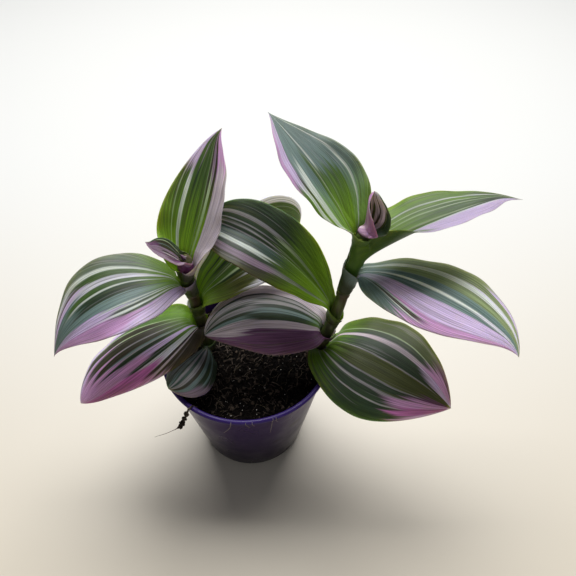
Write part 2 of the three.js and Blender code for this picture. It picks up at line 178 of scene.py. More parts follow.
def noise_at(tree, vector, scale, detail=2.0, stretch=(1, 1, 1), shift=0.0):
    moved = add_node(tree, "ShaderNodeMapping", {}, {
        "Vector": vector, "Scale": stretch, "Location": (shift, shift / 2, shift / 3)})
    return add_node(tree, "ShaderNodeTexNoise", {}, {
        "Vector": moved.outputs[0], "Scale": scale, "Detail": detail}).outputs[0]


def in_patches(tree, under, over, cloud, low, high, share=1.0):
    """A colour laid over another where a noise is high."""
    return mix_colours(tree, fade_between(tree, cloud, low, high, 0.0, share), under, over)


def new_material(name, roughness, settings=None):
    material = bpy.data.materials.new(name)
    material.use_nodes = True
    shader = material.node_tree.nodes["Principled BSDF"]
    shader.inputs["Roughness"].default_value = roughness
    for socket, value in (settings or {}).items():
        shader.inputs[socket].default_value = value
    return material, material.node_tree, shader


def add_bump(tree, shader, height, strength, distance):
    bump = add_node(tree, "ShaderNodeBump", {}, {
        "Height": height, "Strength": strength, "Distance": distance})
    tree.links.new(bump.outputs[0], shader.inputs["Normal"])


def colour(code):
    channels = [int(code[i:i + 2], 16) / 255 for i in (0, 2, 4)]
    return tuple(c / 12.92 if c <= 0.04045 else ((c + 0.055) / 1.055) ** 2.4
                 for c in channels) + (1.0,)


# %% [markdown]
# ## Making things with Geometry Nodes
#
# Stems, threads, crumbs and hairs all repeat or follow a path, so they are
# made by Geometry Nodes. A tree is built here in code with named inputs, its
# values are set on the modifier by each socket's identifier, and the result
# is turned into a plain mesh.

# %% Helpers for Geometry Nodes
SOCKET_KINDS = {float: "NodeSocketFloat", int: "NodeSocketInt"}


def geometry_tree(name, inputs):
    tree = bpy.data.node_groups.new(name, "GeometryNodeTree")
    face = tree.interface
    face.new_socket("Geometry", in_out="INPUT", socket_type="NodeSocketGeometry")
    for label, value in inputs.items():
        socket = face.new_socket(label, in_out="INPUT", socket_type=SOCKET_KINDS[type(value)])
        socket.default_value = value
    face.new_socket("Material", in_out="INPUT", socket_type="NodeSocketMaterial")
    face.new_socket("Geometry", in_out="OUTPUT", socket_type="NodeSocketGeometry")
    return tree, tree.nodes.new("NodeGroupInput").outputs


def end_tree(tree, geometry, source):
    realized = add_node(tree, "GeometryNodeRealizeInstances", {}, {"Geometry": geometry})
    coated = add_node(tree, "GeometryNodeSetMaterial", {}, {
        "Geometry": realized.outputs[0], "Material": source["Material"]})
    output = tree.nodes.new("NodeGroupOutput")
    tree.links.new(coated.outputs[0], output.inputs[0])


def scaled(tree, vector, amount):
    sockets = {0: vector, "Scale": amount}
    return add_node(tree, "ShaderNodeVectorMath", {"operation": "SCALE"}, sockets).outputs[0]


def random_vector(tree, low, high, seed):
    sockets = {0: low, 1: high, "Seed": seed}
    settings = {"data_type": "FLOAT_VECTOR"}
    return add_node(tree, "FunctionNodeRandomValue", settings, sockets).outputs[0]


def shift_points(tree, geometry, offset):
    sockets = {"Geometry": geometry, "Offset": offset}
    return add_node(tree, "GeometryNodeSetPosition", {}, sockets).outputs[0]


def grow(name, tree, host, material, values=None):
    """The plain mesh that a tree makes from a host mesh."""
    carrier = new_object(name + "_carrier", host)
    modifier = carrier.modifiers.new("grow", "NODES")
    modifier.node_group = tree
    for item in tree.interface.items_tree:
        if item.in_out != "INPUT" or item.name == "Geometry":
            continue
        if item.name == "Material":
            modifier[item.identifier] = material
        elif values and item.name in values:
            modifier[item.identifier] = values[item.name]
    mesh = plain_mesh(carrier)
    mesh.name = name
    bpy.data.objects.remove(carrier)
    return mesh


# %% [markdown]
# ## Pot
#
# The pot is a thin, vacuum-formed cup with a small rolled lip and four drain
# holes. A lathe is the natural way: one profile, turned about the middle.
# The floor's holes are cut afterwards with a Boolean modifier.

# %% Turn the pot
POT_RIM_RADIUS = 30.0
POT_BASE_RADIUS = 20.0
POT_HEIGHT = 50.0
POT_WALL = 0.7
POT_FLOOR = 1.6
POT_CORNER = 1.6
LIP_HEIGHT = 2.2
LIP_OVERHANG = 0.9
POT_SIDES = 160
DRAIN_RADIUS = 2.4
DRAIN_CIRCLE = 12.0
DRAIN_COUNT = 4
DRILL_REACH = 5
DRILL_SIDES = 32
BASE_HOLLOW = 0.5
BASE_RING_WIDTH = 3.4
BEAD_SHARE = 0.36
EDGE_ROUNDING = 0.6
HOLLOW_FLAT_RADIUS = 12
RING_CHAMFER = (0.8, 0.1)
LIP_CREASE_DROP = 0.35
LIP_CREASE_OUT = 0.05
LIP_FLARE_START = 1.2
OUTER_HEIGHTS = (4, 12, 20, 28, 36, 42)
INNER_HEIGHTS = (47, 44, 36, 24, 12, 4)


def wall_radius(height):
    top = POT_RIM_RADIUS - LIP_OVERHANG
    return POT_BASE_RADIUS + (top - POT_BASE_RADIUS) * height / POT_HEIGHT


def arc(centre, radii, start, end, steps):
    angles = np.radians(np.linspace(start, end, steps + 1))
    return [(centre[0] + radii[0] * math.cos(a), centre[1] + radii[1] * math.sin(a))
            for a in angles]


def circle(radius, height, sides):
    angles = [math.tau * s / sides for s in range(sides)]
    return [(radius * math.cos(a), radius * math.sin(a), height) for a in angles]


def lathe(profile, sides):
    """Points and faces of a closed profile turned about the Z axis."""
    points = [(0.0, 0.0, profile[0][1])]
    for radius, height in profile[1:-1]:
        points += circle(radius, height, sides)
    points.append((0.0, 0.0, profile[-1][1]))
    rings = len(profile) - 2
    faces = []
    for s in range(sides):
        t = (s + 1) % sides
        faces.append((0, 1 + t, 1 + s))
        for r in range(rings - 1):
            a = 1 + r * sides
            faces.append((a + s, a + t, a + sides + t, a + sides + s))
        last = 1 + (rings - 1) * sides
        faces.append((last + s, last + t, len(points) - 1))
    return points, faces


def pot_profile():
    corner = (wall_radius(POT_CORNER) - POT_CORNER, POT_CORNER)
    ring = POT_BASE_RADIUS - BASE_RING_WIDTH
    under = POT_HEIGHT - LIP_HEIGHT
    inside = wall_radius(POT_HEIGHT) - POT_WALL
    bead = LIP_HEIGHT * BEAD_SHARE
    lip_middle = (POT_RIM_RADIUS - bead, POT_HEIGHT - bead)
    chamfer = (ring - RING_CHAMFER[0], BASE_HOLLOW - RING_CHAMFER[1])
    profile = [(0, BASE_HOLLOW), (HOLLOW_FLAT_RADIUS, BASE_HOLLOW), chamfer, (ring, 0)]
    profile += arc(corner, (POT_CORNER, POT_CORNER), -90, -8, 6)
    profile += [(wall_radius(h), h) for h in (*OUTER_HEIGHTS, under - LIP_FLARE_START)]
    profile += [(wall_radius(under) + LIP_CREASE_OUT, under - LIP_CREASE_DROP)]
    profile += arc(lip_middle, (bead, bead), -62, 90, 9)
    edge = (inside + EDGE_ROUNDING, POT_HEIGHT - EDGE_ROUNDING)
    profile += arc(edge, (EDGE_ROUNDING, EDGE_ROUNDING), 90, 180, 3)
    profile += [(wall_radius(h) - POT_WALL, h) for h in INNER_HEIGHTS]
    floor_edge = wall_radius(POT_FLOOR) - POT_WALL
    profile += [(floor_edge, POT_FLOOR + EDGE_ROUNDING), (floor_edge - EDGE_ROUNDING, POT_FLOOR),
                (0, POT_FLOOR)]
    return profile


def cut_drain_holes(mesh):
    body = new_object("pot_body", mesh)
    cutters = []
    for i in range(DRAIN_COUNT):
        angle = (i + 0.5) * math.tau / DRAIN_COUNT
        points, faces = lathe([(0, -DRILL_REACH), (DRAIN_RADIUS, -DRILL_REACH),
                               (DRAIN_RADIUS, DRILL_REACH), (0, DRILL_REACH)], DRILL_SIDES)
        shift = (DRAIN_CIRCLE * math.cos(angle), DRAIN_CIRCLE * math.sin(angle), 0)
        cutter = new_object(f"drill_{i}", mesh_from(f"drill_{i}", np.array(points) + shift, faces))
        cutters.append(cutter)
        cut = body.modifiers.new(f"hole_{i}", "BOOLEAN")
        cut.object = cutter
        cut.operation = "DIFFERENCE"
        cut.solver = "EXACT"
    drilled = plain_mesh(body)
    for thing in [body] + cutters:
        bpy.data.objects.remove(thing)
    return drilled


pot_mesh = cut_drain_holes(mesh_from("pot", *lathe(pot_profile(), POT_SIDES)))
pot = add_piece("pot_cup", pot_mesh, replaced="pot")

# %% [markdown]
# ## Pot finish
#
# Thin violet plastic is a little shiny. Its colour is painted darker low on the
# wall, as painted shade, and lighter on the top of the lip, as a painted
# highlight. In use it picks up a grey film of dried water, dark smears of soil
# and fine specks. These are noise on Object coordinates, mixed over the
# plastic's colour.

# %% Colour the pot
PLASTIC_VIOLET = colour("30144f")
# Painted shade: the colour low on the wall, darker for the shade that falls there.
PLASTIC_PAINTED_SHADE = colour("180a22")
# Painted highlight: the lighter colour of the lip's top, where the light from above falls.
LIP_HIGHLIGHT_VIOLET = colour("35206a")
LIP_HIGHLIGHT_FADE = (1.4, 0.9)
WATER_FILM = colour("564b62")
SOIL_SMEAR = colour("231a1d")


def pot_material():
    material, tree, shader = new_material("violet_plastic", 0.4, {"Specular IOR Level": 0.3})
    place = object_place(tree)
    height = add_node(tree, "ShaderNodeSeparateXYZ", {}, {0: place}).outputs[2]
    # The wall fades from painted shade at the foot to the plastic's own colour at the top.
    up = fade_between(tree, height, 0.0, POT_HEIGHT * MM)
    # Painted highlight on the top of the lip.
    lip_highlight = fade_between(tree, height, *((POT_HEIGHT - drop) * MM for drop in LIP_HIGHLIGHT_FADE))
    plastic = mix_colours(tree, up, PLASTIC_PAINTED_SHADE, PLASTIC_VIOLET)
    plastic = mix_colours(tree, lip_highlight, plastic, LIP_HIGHLIGHT_VIOLET)
    film = noise_at(tree, place, 60, 4, (1, 1, 0.35))
    smears = noise_at(tree, place, 140, 5, shift=3.0)
    specks = noise_at(tree, place, 1300, 1, shift=8.0)
    dirty = in_patches(tree, plastic, WATER_FILM, film, 0.45, 0.75, 0.08)
    dirty = in_patches(tree, dirty, SOIL_SMEAR, smears, 0.6, 0.72, 0.55)
    dirty = in_patches(tree, dirty, SOIL_SMEAR, specks, 0.74, 0.78, 0.8)
    tree.links.new(dirty, shader.inputs["Base Color"])
    rough = fade_between(tree, noise_at(tree, place, 90, 3, shift=5.0), 0.3, 0.7, 0.25, 0.42)
    tree.links.new(rough, shader.inputs["Roughness"])
    add_bump(tree, shader, noise_at(tree, place, 400, 3), 0.15, 0.0003)
    return material


pot.data.materials.clear()
pot.data.materials.append(pot_material())
print("pot finish:", pot.data.materials[0].name)

# %% [markdown]
# ## Soil
#
# Peat fills the pot to a little under its lip. The body is a lathe-like solid
# whose top is a fine polar grid, lifted by the same broad waves as the packed
# solid and by smaller noise, so that the light catches its lumps.

# %% Shape the soil
SOIL_HEIGHT = 43.6
SOIL_LUMP = 0.45
SOIL_BROAD_SHARE = 0.6
SOIL_GAP = 0.3
SOIL_RINGS = 56
SOIL_SIDES = 144
SOIL_GRAIN = 0.55


def soil_height(x, y):
    broad = math.sin(0.31 * x + 1.3) * math.cos(0.27 * y - 0.4)
    fine = math.sin(0.83 * x - 0.9 * y) * math.cos(0.71 * y + 0.6 * x)
    lump = SOIL_LUMP * (fine + (broad - fine) * SOIL_BROAD_SHARE)
    grain = noise.fractal((x * 0.45, y * 0.45, 3.0), 1.0, 2.1, 4)
    return SOIL_HEIGHT + lump + SOIL_GRAIN * grain


def soil_rings(edge):
    points = [(0.0, 0.0, soil_height(0, 0))]
    for ring in range(1, SOIL_RINGS + 1):
        for x, y, _ in circle(edge * ring / SOIL_RINGS, 0, SOIL_SIDES):
            points.append((x, y, soil_height(x, y)))
    return points


def ring_faces(first, rings):
    faces = []
    for ring in range(rings):
        for s in range(SOIL_SIDES):
            t = (s + 1) % SOIL_SIDES
            a = first + ring * SOIL_SIDES
            faces.append((a + s, a + SOIL_SIDES + s, a + SOIL_SIDES + t, a + t))
    return faces


def soil_mesh(name, closed):
    edge = wall_radius(SOIL_HEIGHT) - POT_WALL - SOIL_GAP
    points = soil_rings(edge)
    faces = [(0, 1 + s, 1 + (s + 1) % SOIL_SIDES) for s in range(SOIL_SIDES)]
    faces += ring_faces(1, SOIL_RINGS - 1)
    if closed:
        bottom = POT_FLOOR + SOIL_GAP
        low_edge = wall_radius(bottom) - POT_WALL - SOIL_GAP
        points += circle(low_edge, bottom, SOIL_SIDES)
        points.append((0.0, 0.0, bottom))
        wall = 1 + (SOIL_RINGS - 1) * SOIL_SIDES
        faces += ring_faces(wall, 1)
        under = wall + SOIL_SIDES
        faces += [(under + (s + 1) % SOIL_SIDES, under + s, len(points) - 1)
                  for s in range(SOIL_SIDES)]
    return mesh_from(name, points, faces)


# %% [markdown]
# Damp peat is nearly black, with browner and drier grains.

# %% Colour the soil
PEAT_DARK = colour("060403")
PEAT_BROWN = colour("140f0b")
PEAT_DRY = colour("2f2720")


def soil_material(name, dark, light, scale):
    material, tree, shader = new_material(name, 0.85, {"Specular IOR Level": 0.12})
    place = object_place(tree)
    fine = noise_at(tree, place, scale * 7, 3, shift=2.0)
    peat = in_patches(tree, dark, light, noise_at(tree, place, scale, 4), 0.35, 0.7)
    peat = in_patches(tree, peat, PEAT_DRY, fine, 0.55, 0.75, 0.6)
    tree.links.new(peat, shader.inputs["Base Color"])
    add_bump(tree, shader, noise_at(tree, place, scale * 9, 4), 0.6, 0.0006)
    return material


PEAT = soil_material("damp_peat", PEAT_DARK, PEAT_BROWN, 220)
soil = add_piece("soil_bed", soil_mesh("soil_bed", True), replaced="soil")
soil.data.materials.append(PEAT)

# %% [markdown]
# ## Crumbs and fibres
#
# The peat's surface is loose: crumbs of many sizes, short fibres and a few
# white specks. Scattering one low-poly lump and bending each copy with noise
# after the copies are made real gives thousands of different crumbs cheaply.


# %% A tree that scatters crumbs
def crumb_tree():
    tree, source = geometry_tree("crumbs", {
        "Density": 1.0, "Smallest": 0.001, "Largest": 0.002, "Roughness": 0.0004, "Seed": 1})
    scatter = add_node(tree, "GeometryNodeDistributePointsOnFaces", {}, {
        "Mesh": source["Geometry"], "Density": source["Density"], "Seed": source["Seed"]})
    lump = add_node(tree, "GeometryNodeMeshIcoSphere", {}, {"Radius": 1.0, "Subdivisions": 1})
    size = add_node(tree, "FunctionNodeRandomValue", {"data_type": "FLOAT"}, {
        "Seed": source["Seed"]})
    tree.links.new(source["Smallest"], size.inputs[2])
    tree.links.new(source["Largest"], size.inputs[3])
    squash = random_vector(tree, (0.5, 0.4, 0.4), (1.2, 1.0, 0.9), 5)
    turn = random_vector(tree, (0, 0, 0), (math.tau, math.tau, math.tau), 9)
    copies = add_node(tree, "GeometryNodeInstanceOnPoints", {}, {
        "Points": scatter.outputs[0], "Instance": lump.outputs[0],
        "Rotation": turn, "Scale": scaled(tree, squash, size.outputs[1])})
    real = add_node(tree, "GeometryNodeRealizeInstances", {}, {"Geometry": copies.outputs[0]})
    place = add_node(tree, "GeometryNodeInputPosition")
    wobble = add_node(tree, "ShaderNodeTexNoise", {}, {"Vector": place.outputs[0], "Scale": 900.0})
    centred = add_node(tree, "ShaderNodeVectorMath", {"operation": "SUBTRACT"}, {
        0: wobble.outputs[1], 1: (0.5, 0.5, 0.5)})
    offset = scaled(tree, centred.outputs[0], source["Roughness"])
    end_tree(tree, shift_points(tree, real.outputs[0], offset), source)
    return tree


# %% Scatter the crumbs and specks
CRUMBS = crumb_tree()
BARK_BROWN = colour("5a4e43")
BARK = soil_material("dry_bark", PEAT_BROWN, BARK_BROWN, 260)
SPECK_WHITE = colour("d8d2c6")


def speck_material():
    material, tree, shader = new_material("white_specks", 0.7)
    place = object_place(tree)
    grey = in_patches(tree, SPECK_WHITE, PEAT_DRY, noise_at(tree, place, 900, 3), 0.4, 0.7, 0.5)
    tree.links.new(grey, shader.inputs["Base Color"])
    return material


def scatter_crumbs(name, material, density, smallest, largest, seed):
    mesh = grow(name, CRUMBS, soil_mesh("bed", False), material, {
        "Density": density, "Smallest": smallest * MM, "Largest": largest * MM,
        "Roughness": largest * MM * 0.8, "Seed": seed})
    return add_piece(name, mesh, smooth=False)


scatter_crumbs("soil_crumbs", PEAT, 2.6e6, 0.16, 0.6, 3)
scatter_crumbs("soil_bark", BARK, 2.2e5, 0.3, 1.0, 11)
scatter_crumbs("soil_specks", speck_material(), 5.0e4, 0.12, 0.35, 23)

# %% [markdown]
# ## Threads
#
# Stems, roots, fibres and hairs are all tubes along a path. The path is a
# polyline mesh whose points carry a `thickness`; the tree sweeps a circle of
# that radius along it and ripples the skin a little.


# %% A tree that sweeps tubes
def tube_tree():
    tree, source = geometry_tree("tube", {"Sides": 8, "Ripple": 0.0, "Ripple Scale": 400.0})
    path = add_node(tree, "GeometryNodeMeshToCurve", {}, {"Mesh": source["Geometry"]})
    circle = add_node(tree, "GeometryNodeCurvePrimitiveCircle", {}, {
        "Resolution": source["Sides"], "Radius": 1.0})
    thickness = add_node(tree, "GeometryNodeInputNamedAttribute", {"data_type": "FLOAT"}, {
        "Name": "thickness"})
    tube = add_node(tree, "GeometryNodeCurveToMesh", {}, {
        "Curve": path.outputs[0], "Profile Curve": circle.outputs[0],
        "Scale": thickness.outputs[0], "Fill Caps": True})
    place = add_node(tree, "GeometryNodeInputPosition")
    stretched = add_node(tree, "ShaderNodeVectorMath", {"operation": "MULTIPLY"}, {
        0: place.outputs[0], 1: (1.0, 1.0, 0.12)})
    ripple = add_node(tree, "ShaderNodeTexNoise", {}, {
        "Vector": stretched.outputs[0], "Scale": source["Ripple Scale"]})
    centred = calculate(tree, "SUBTRACT", ripple.outputs[0], 0.5)
    amount = calculate(tree, "MULTIPLY", centred, source["Ripple"])
    outward = add_node(tree, "GeometryNodeInputNormal")
    offset = scaled(tree, outward.outputs[0], amount)
    end_tree(tree, shift_points(tree, tube.outputs[0], offset), source)
    return tree


TUBE = tube_tree()


def path_mesh(name, strands):
    """A mesh of polylines: each strand is a list of points and their radii, in mm."""
    points, edges, radii = [], [], []
    for line, thickness in strands:
        first = len(points)
        points += [tuple(p) for p in line]
        radii += list(thickness)
        edges += [(i, i + 1) for i in range(first, len(points) - 1)]
    mesh = bpy.data.meshes.new(name)
    mesh.from_pydata((np.array(points) * MM).tolist(), edges, [])
    layer = mesh.attributes.new("thickness", "FLOAT", "POINT")
    layer.data.foreach_set("value", [r * MM for r in radii])
    return mesh


# %% [markdown]
# ## Stems
#
# Each stem is a fleshy cane that climbs in a loose curve and swells a little
# under every leaf. Its centre line is a smooth curve through a few points,
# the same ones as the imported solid's.

# %% Follow the stems
STEM_ROUTES = {
    "left": [(-13.5, 4.5, 38), (-14.5, 5, 46), (-16, 5.5, 60), (-17, 6, 70), (-18, 5, 81),
             (-16.8, 3.8, 89), (-16, 3, 93)],
    "right": [(22.5, 1, 38), (23.2, 0.5, 44), (26.8, -0.5, 56), (30.5, 0.5, 69),
              (33.5, 2.5, 84), (34.9, 2, 93), (36.8, 1.6, 104)],
}
STEM_TOPS = {"left": 90.0, "right": 101.4}
STEM_FOOT = 38.3
STEM_TAPER_TOP = 100.0
STEM_RADIUS_LOW = 2.1
STEM_RADIUS_HIGH = 1.8
STEM_SAMPLES = 60


def smooth_route(points):
    """A uniform Catmull-Rom curve through the points, sampled closely."""
    knots = np.array(points, dtype=float)
    knots = np.vstack([2 * knots[0] - knots[1], knots, 2 * knots[-1] - knots[-2]])
    line = []
    for i in range(1, len(knots) - 2):
        p0, p1, p2, p3 = knots[i - 1:i + 3]
        for s in np.arange(STEM_SAMPLES) / STEM_SAMPLES:
            line.append(0.5 * (2 * p1 + (p2 - p0) * s + (2 * p0 - 5 * p1 + 4 * p2 - p3) * s ** 2
                               + (3 * p1 - p0 - 3 * p2 + p3) * s ** 3))
    line.append(knots[-2])
    return np.array(line)


STEM_LINES = {stem: smooth_route(route) for stem, route in STEM_ROUTES.items()}


def stem_point(stem, height):
    line = STEM_LINES[stem]
    return np.array([np.interp(height, line[:, 2], line[:, axis]) for axis in range(3)])


def unit(vector):
    return vector / np.linalg.norm(vector)


def stem_direction(stem, height):
    return unit(stem_point(stem, height + 0.2) - stem_point(stem, height - 0.2))


def stem_radius(height):
    along = (height - STEM_FOOT) / (STEM_TAPER_TOP - STEM_FOOT)
    return STEM_RADIUS_LOW + (STEM_RADIUS_HIGH - STEM_RADIUS_LOW) * along


for stem, line in STEM_LINES.items():
    print(stem, "stem leans", np.round(line[-1] - line[0], 1), "mm")

# %% [markdown]
# ## Leaf shapes
#
# A leaf starts as a sheath round the stem, opens, and becomes a long blade
# that climbs and droops. A few numbers describe each one: where it sits, its
# heading (0 is to the right, 90 away), how it rises and droops, its length
# and width, and how its halves fold and curl.
#
# Most of these numbers weren't chosen by hand. A fitting program set them, so
# that each leaf's outline met points read by eye from the photo. The packed
# model's leaves come from the same fit, but some of their numbers differ, most
# of them at the base, where the blade leaves its sheath.

# %% The leaves' numbers
LEAF_DEFAULTS = dict(
    sweep=0, droop_power=1.3, roll=0, fold_right=None, fold_fade=0.3, base_power=0.62,
    base_right=None, tip_right=None, wrap=0.1, wrap_right=None, turn=0.14, lobe_left=0,
    lobe_right=0, sheath=3.2, hem=0.0, clearance=0.87, wave=0.35, mouth=0.0, flare=4.0, hook=0.0)

LEAVES = {
    "leaf_left_1": dict(
        stem="left", node=46.5, heading=275, sweep=-50, rise=47, droop=66, droop_power=1.09,
        length=28.4, width=19.3, fold=-23, curl=-0.042, base_power=1.42, tip_power=0.66,
        base_offset=0.005, wrap=0.06, turn=0.07, lobe_left=-4, sheath=0.6, mouth=2.9, flare=2.5,
        hook=-0.9),
    "leaf_left_2": dict(
        stem="left", node=56, heading=212, sweep=7, rise=12, droop=70, droop_power=1.41,
        length=53.5, width=28.6, fold=-4, curl=-0.052, base_right=0.79, tip_power=0.9,
        tip_right=0.83, base_offset=0.005, wrap=0.06, wrap_right=0.1, turn=0.19, lobe_left=4.5,
        lobe_right=-1.9, mouth=2.8, flare=1.5, hook=-1),
    "leaf_left_3": dict(
        stem="left", node=66, heading=37, sweep=1, rise=38, droop=80, droop_power=1.68,
        length=48.7, width=29, roll=48, fold=23, curl=0.023, base_power=0.8, tip_power=0.41,
        base_offset=0.028, wrap=0.08, turn=0.12, lobe_left=-1.2, lobe_right=7.2, mouth=1.2,
        flare=1.5, hook=0.9),
    "leaf_left_4": dict(
        stem="left", node=76, heading=204, sweep=9, rise=26, droop=87, droop_power=1.12,
        length=54, width=28.8, roll=-11, fold=-1, curl=0.011, base_power=1.1, base_right=1.32,
        tip_power=1.44, base_offset=0.005, wrap=0.07, wrap_right=0.05, turn=0.2, lobe_left=3.9,
        lobe_right=3, mouth=4, flare=3.5),
    "leaf_left_5": dict(
        stem="left", node=82.6, heading=68, sweep=9, rise=48, droop=11, droop_power=1.25,
        length=45.7, width=24.2, roll=-4, fold=31, curl=0.004, base_power=0.47, tip_power=1,
        base_offset=0.033, wrap=0.07, lobe_left=-3.6, lobe_right=-3, sheath=1.6, mouth=4.2,
        flare=3.9, hook=-1.4),
    "bud_left": dict(
        stem="left", node=88.7, heading=205, rise=50, droop=2, length=13.8, width=11.8, roll=-5,
        fold=14, curl=0.046, base_power=0.69, tip_power=0.85, base_offset=0.033, wrap=0.12,
        sheath=3.4, clearance=0.2, wave=0.1, flare=1.5, hook=-1.8),
    "leaf_right_1": dict(
        stem="right", node=52.2, heading=-37, sweep=3, rise=15, droop=32, droop_power=1.43,
        length=48.6, width=37.5, roll=15, fold=1, curl=-0.019, base_power=0.8, tip_power=0.92,
        base_offset=0.036, wrap=0.03, wrap_right=0.06, turn=0.16, lobe_left=4.1, lobe_right=5.7,
        sheath=0.8, flare=1.8),
    "leaf_right_2": dict(
        stem="right", node=58, heading=173, sweep=31, rise=37, droop=74, droop_power=1.4,
        length=44.7, width=28.8, roll=-6, fold=-7, fold_right=-3, curl=-0.03, base_power=0.69,
        tip_power=0.78, base_offset=0.013, wrap=0.06, turn=0.12, lobe_left=3.3, lobe_right=1.7,
        sheath=1.2, mouth=2.2, flare=2.2),
    "leaf_right_3": dict(
        stem="right", node=67, heading=161, sweep=-1, rise=62.5, droop=65, droop_power=1.07,
        length=53.6, width=25, roll=-17, fold=16, curl=0.001, base_power=0.88, tip_power=0.46,
        base_offset=0.028, wrap=0.08, turn=0.12, lobe_left=-1.5, lobe_right=-2.7, sheath=2.4),
    "leaf_right_4": dict(
        stem="right", node=81, heading=-20, sweep=-15, rise=27, droop=68, droop_power=1.06,
        length=58.9, width=26.9, roll=3, fold=-2, fold_right=-8, curl=-0.016, base_power=0.98,
        base_right=1, tip_power=0.82, tip_right=1.15, base_offset=0.005, wrap=0.05, wrap_right=0.05,
        turn=0.12, lobe_left=2.6, lobe_right=1.2, mouth=8.3, flare=4.2, hook=-1.8),
    "leaf_right_5": dict(
        stem="right", node=90, heading=9, sweep=15, rise=43, droop=45, droop_power=0.7,
        length=51.9, width=24.8, roll=-9, fold=27, fold_right=53, fold_fade=0.75, curl=-0.021,
        base_power=0.86, base_right=0.94, tip_power=1.29, base_offset=0.015, wrap=0.12,
        wrap_right=0.16, turn=0.05, lobe_left=-0.1, lobe_right=-0.1, sheath=2, hem=4.5,
        mouth=12.4, hook=-3.5),
    "leaf_right_6": dict(
        stem="right", node=98.6, heading=143, sweep=-15, rise=40, droop=19, droop_power=1.24,
        length=46.2, width=26.8, roll=-1, fold=16, fold_right=6, curl=0.023, base_power=0.91,
        tip_power=1.34, base_offset=0.018, wrap=0.04, turn=0.15, lobe_left=-4, lobe_right=-0.1,
        sheath=0.8, hem=5, mouth=3.8, flare=2.6),
    "bud_right": dict(
        stem="right", node=103, heading=86, rise=89, droop=-6, length=12.9, width=18.2, roll=25,
        fold=68, fold_right=62, curl=0.08, base_power=0.53, tip_power=0.7, base_offset=0.036,
        sheath=0.5, clearance=0.2, wave=0.1, flare=1.5, hook=-1.2),
}
print("leaves and buds:", len(LEAVES))

# %% [markdown]
# The middle surface of a blade is a grid of points. Each row lies across the
# midrib at the share `t` of the length, as an arc that is rolled tight where
# the blade leaves the stem. The sheath below it follows the stem down. The
# starts and ends here are shares of a blade's length.

# %% The middle surface of a leaf
UP = np.array([0.0, 0.0, 1.0])
LEAF_ROWS = 96
LEAF_COLUMNS = 57
SHEATH_ROWS = 8
LEAF_THICKNESS = 0.6
SHEATH_CLEARANCE = 0.42
SHEATH_SLIT = 0.7
SHEATH_CLOSING = 1.4
TIP_HALF_WIDTH = 0.06
MIDRIB_SUBSTEPS = 4
ROW_POWER = 1.25
MOUTH_END = 0.16
ROLL_START = 0.3
FOLD_START = 0.15
LEFT_FOLD_FADE = 0.3
LOBE_START = 0.12
LOBE_END = 0.5
HOOK_START = 0.86
FLARE_POWER = 1.5
UNWRAP_POWER = 1.5
STRAIGHT = 1e-4


def ease(x):
    x = min(max(x, 0.0), 1.0)
    return x * x * (3 - 2 * x)


def leaf_root(leaf):
    point = stem_point(leaf["stem"], leaf["node"])
    direction = stem_direction(leaf["stem"], leaf["node"])
    heading = math.radians(leaf["heading"])
    outward = np.array([math.cos(heading), math.sin(heading), 0.0])
    outward = unit(outward - direction * outward.dot(direction))
    return point, direction, outward, stem_radius(leaf["node"]) + leaf["clearance"]


def leaf_frame(leaf, root, t):
    direction, outward = root[1:3]
    heading = math.radians(leaf["heading"] + leaf["sweep"] * t)
    angle = math.radians(leaf["rise"] - leaf["droop"] * t ** leaf["droop_power"])
    flat = np.array([math.cos(heading), math.sin(heading), 0.0])
    released = ease(t / leaf["turn"])
    along = released * (flat * math.cos(angle) + UP * math.sin(angle))
    along = unit(along + (1 - released) * direction)
    normal = released * (UP * math.cos(angle) - flat * math.sin(angle))
    normal += (released - 1) * outward
    normal = unit(normal - along * normal.dot(along))
    side = np.cross(normal, along)
    roll = math.radians(leaf["roll"]) * ease(t / ROLL_START)
    return (along, normal * math.cos(roll) - side * math.sin(roll),
            side * math.cos(roll) + normal * math.sin(roll))


def for_side(leaf, key, right_key, left):
    """A number of the leaf, which its right half may have differently."""
    return leaf[key] if left or leaf[right_key] is None else leaf[right_key]


def blade_half_width(leaf, t, left):
    base = for_side(leaf, "base_power", "base_right", left)
    tip = for_side(leaf, "tip_power", "tip_right", left)
    offset = leaf["base_offset"]
    widest = (base - tip * offset) / (base + tip)
    shape = (t + offset) ** base * (1 - t) ** tip
    most = (widest + offset) ** base * (1 - widest) ** tip
    return max(leaf["width"] / 2 * shape / most, TIP_HALF_WIDTH)


def mouth_rise(leaf, v, share):
    """How far the oblique mouth of the sheath climbs the stem away from the midrib."""
    rise = leaf["mouth"] * v ** 2 * share
    if rise == 0:
        return np.zeros(3)
    return stem_point(leaf["stem"], leaf["node"] + rise) - stem_point(leaf["stem"], leaf["node"])


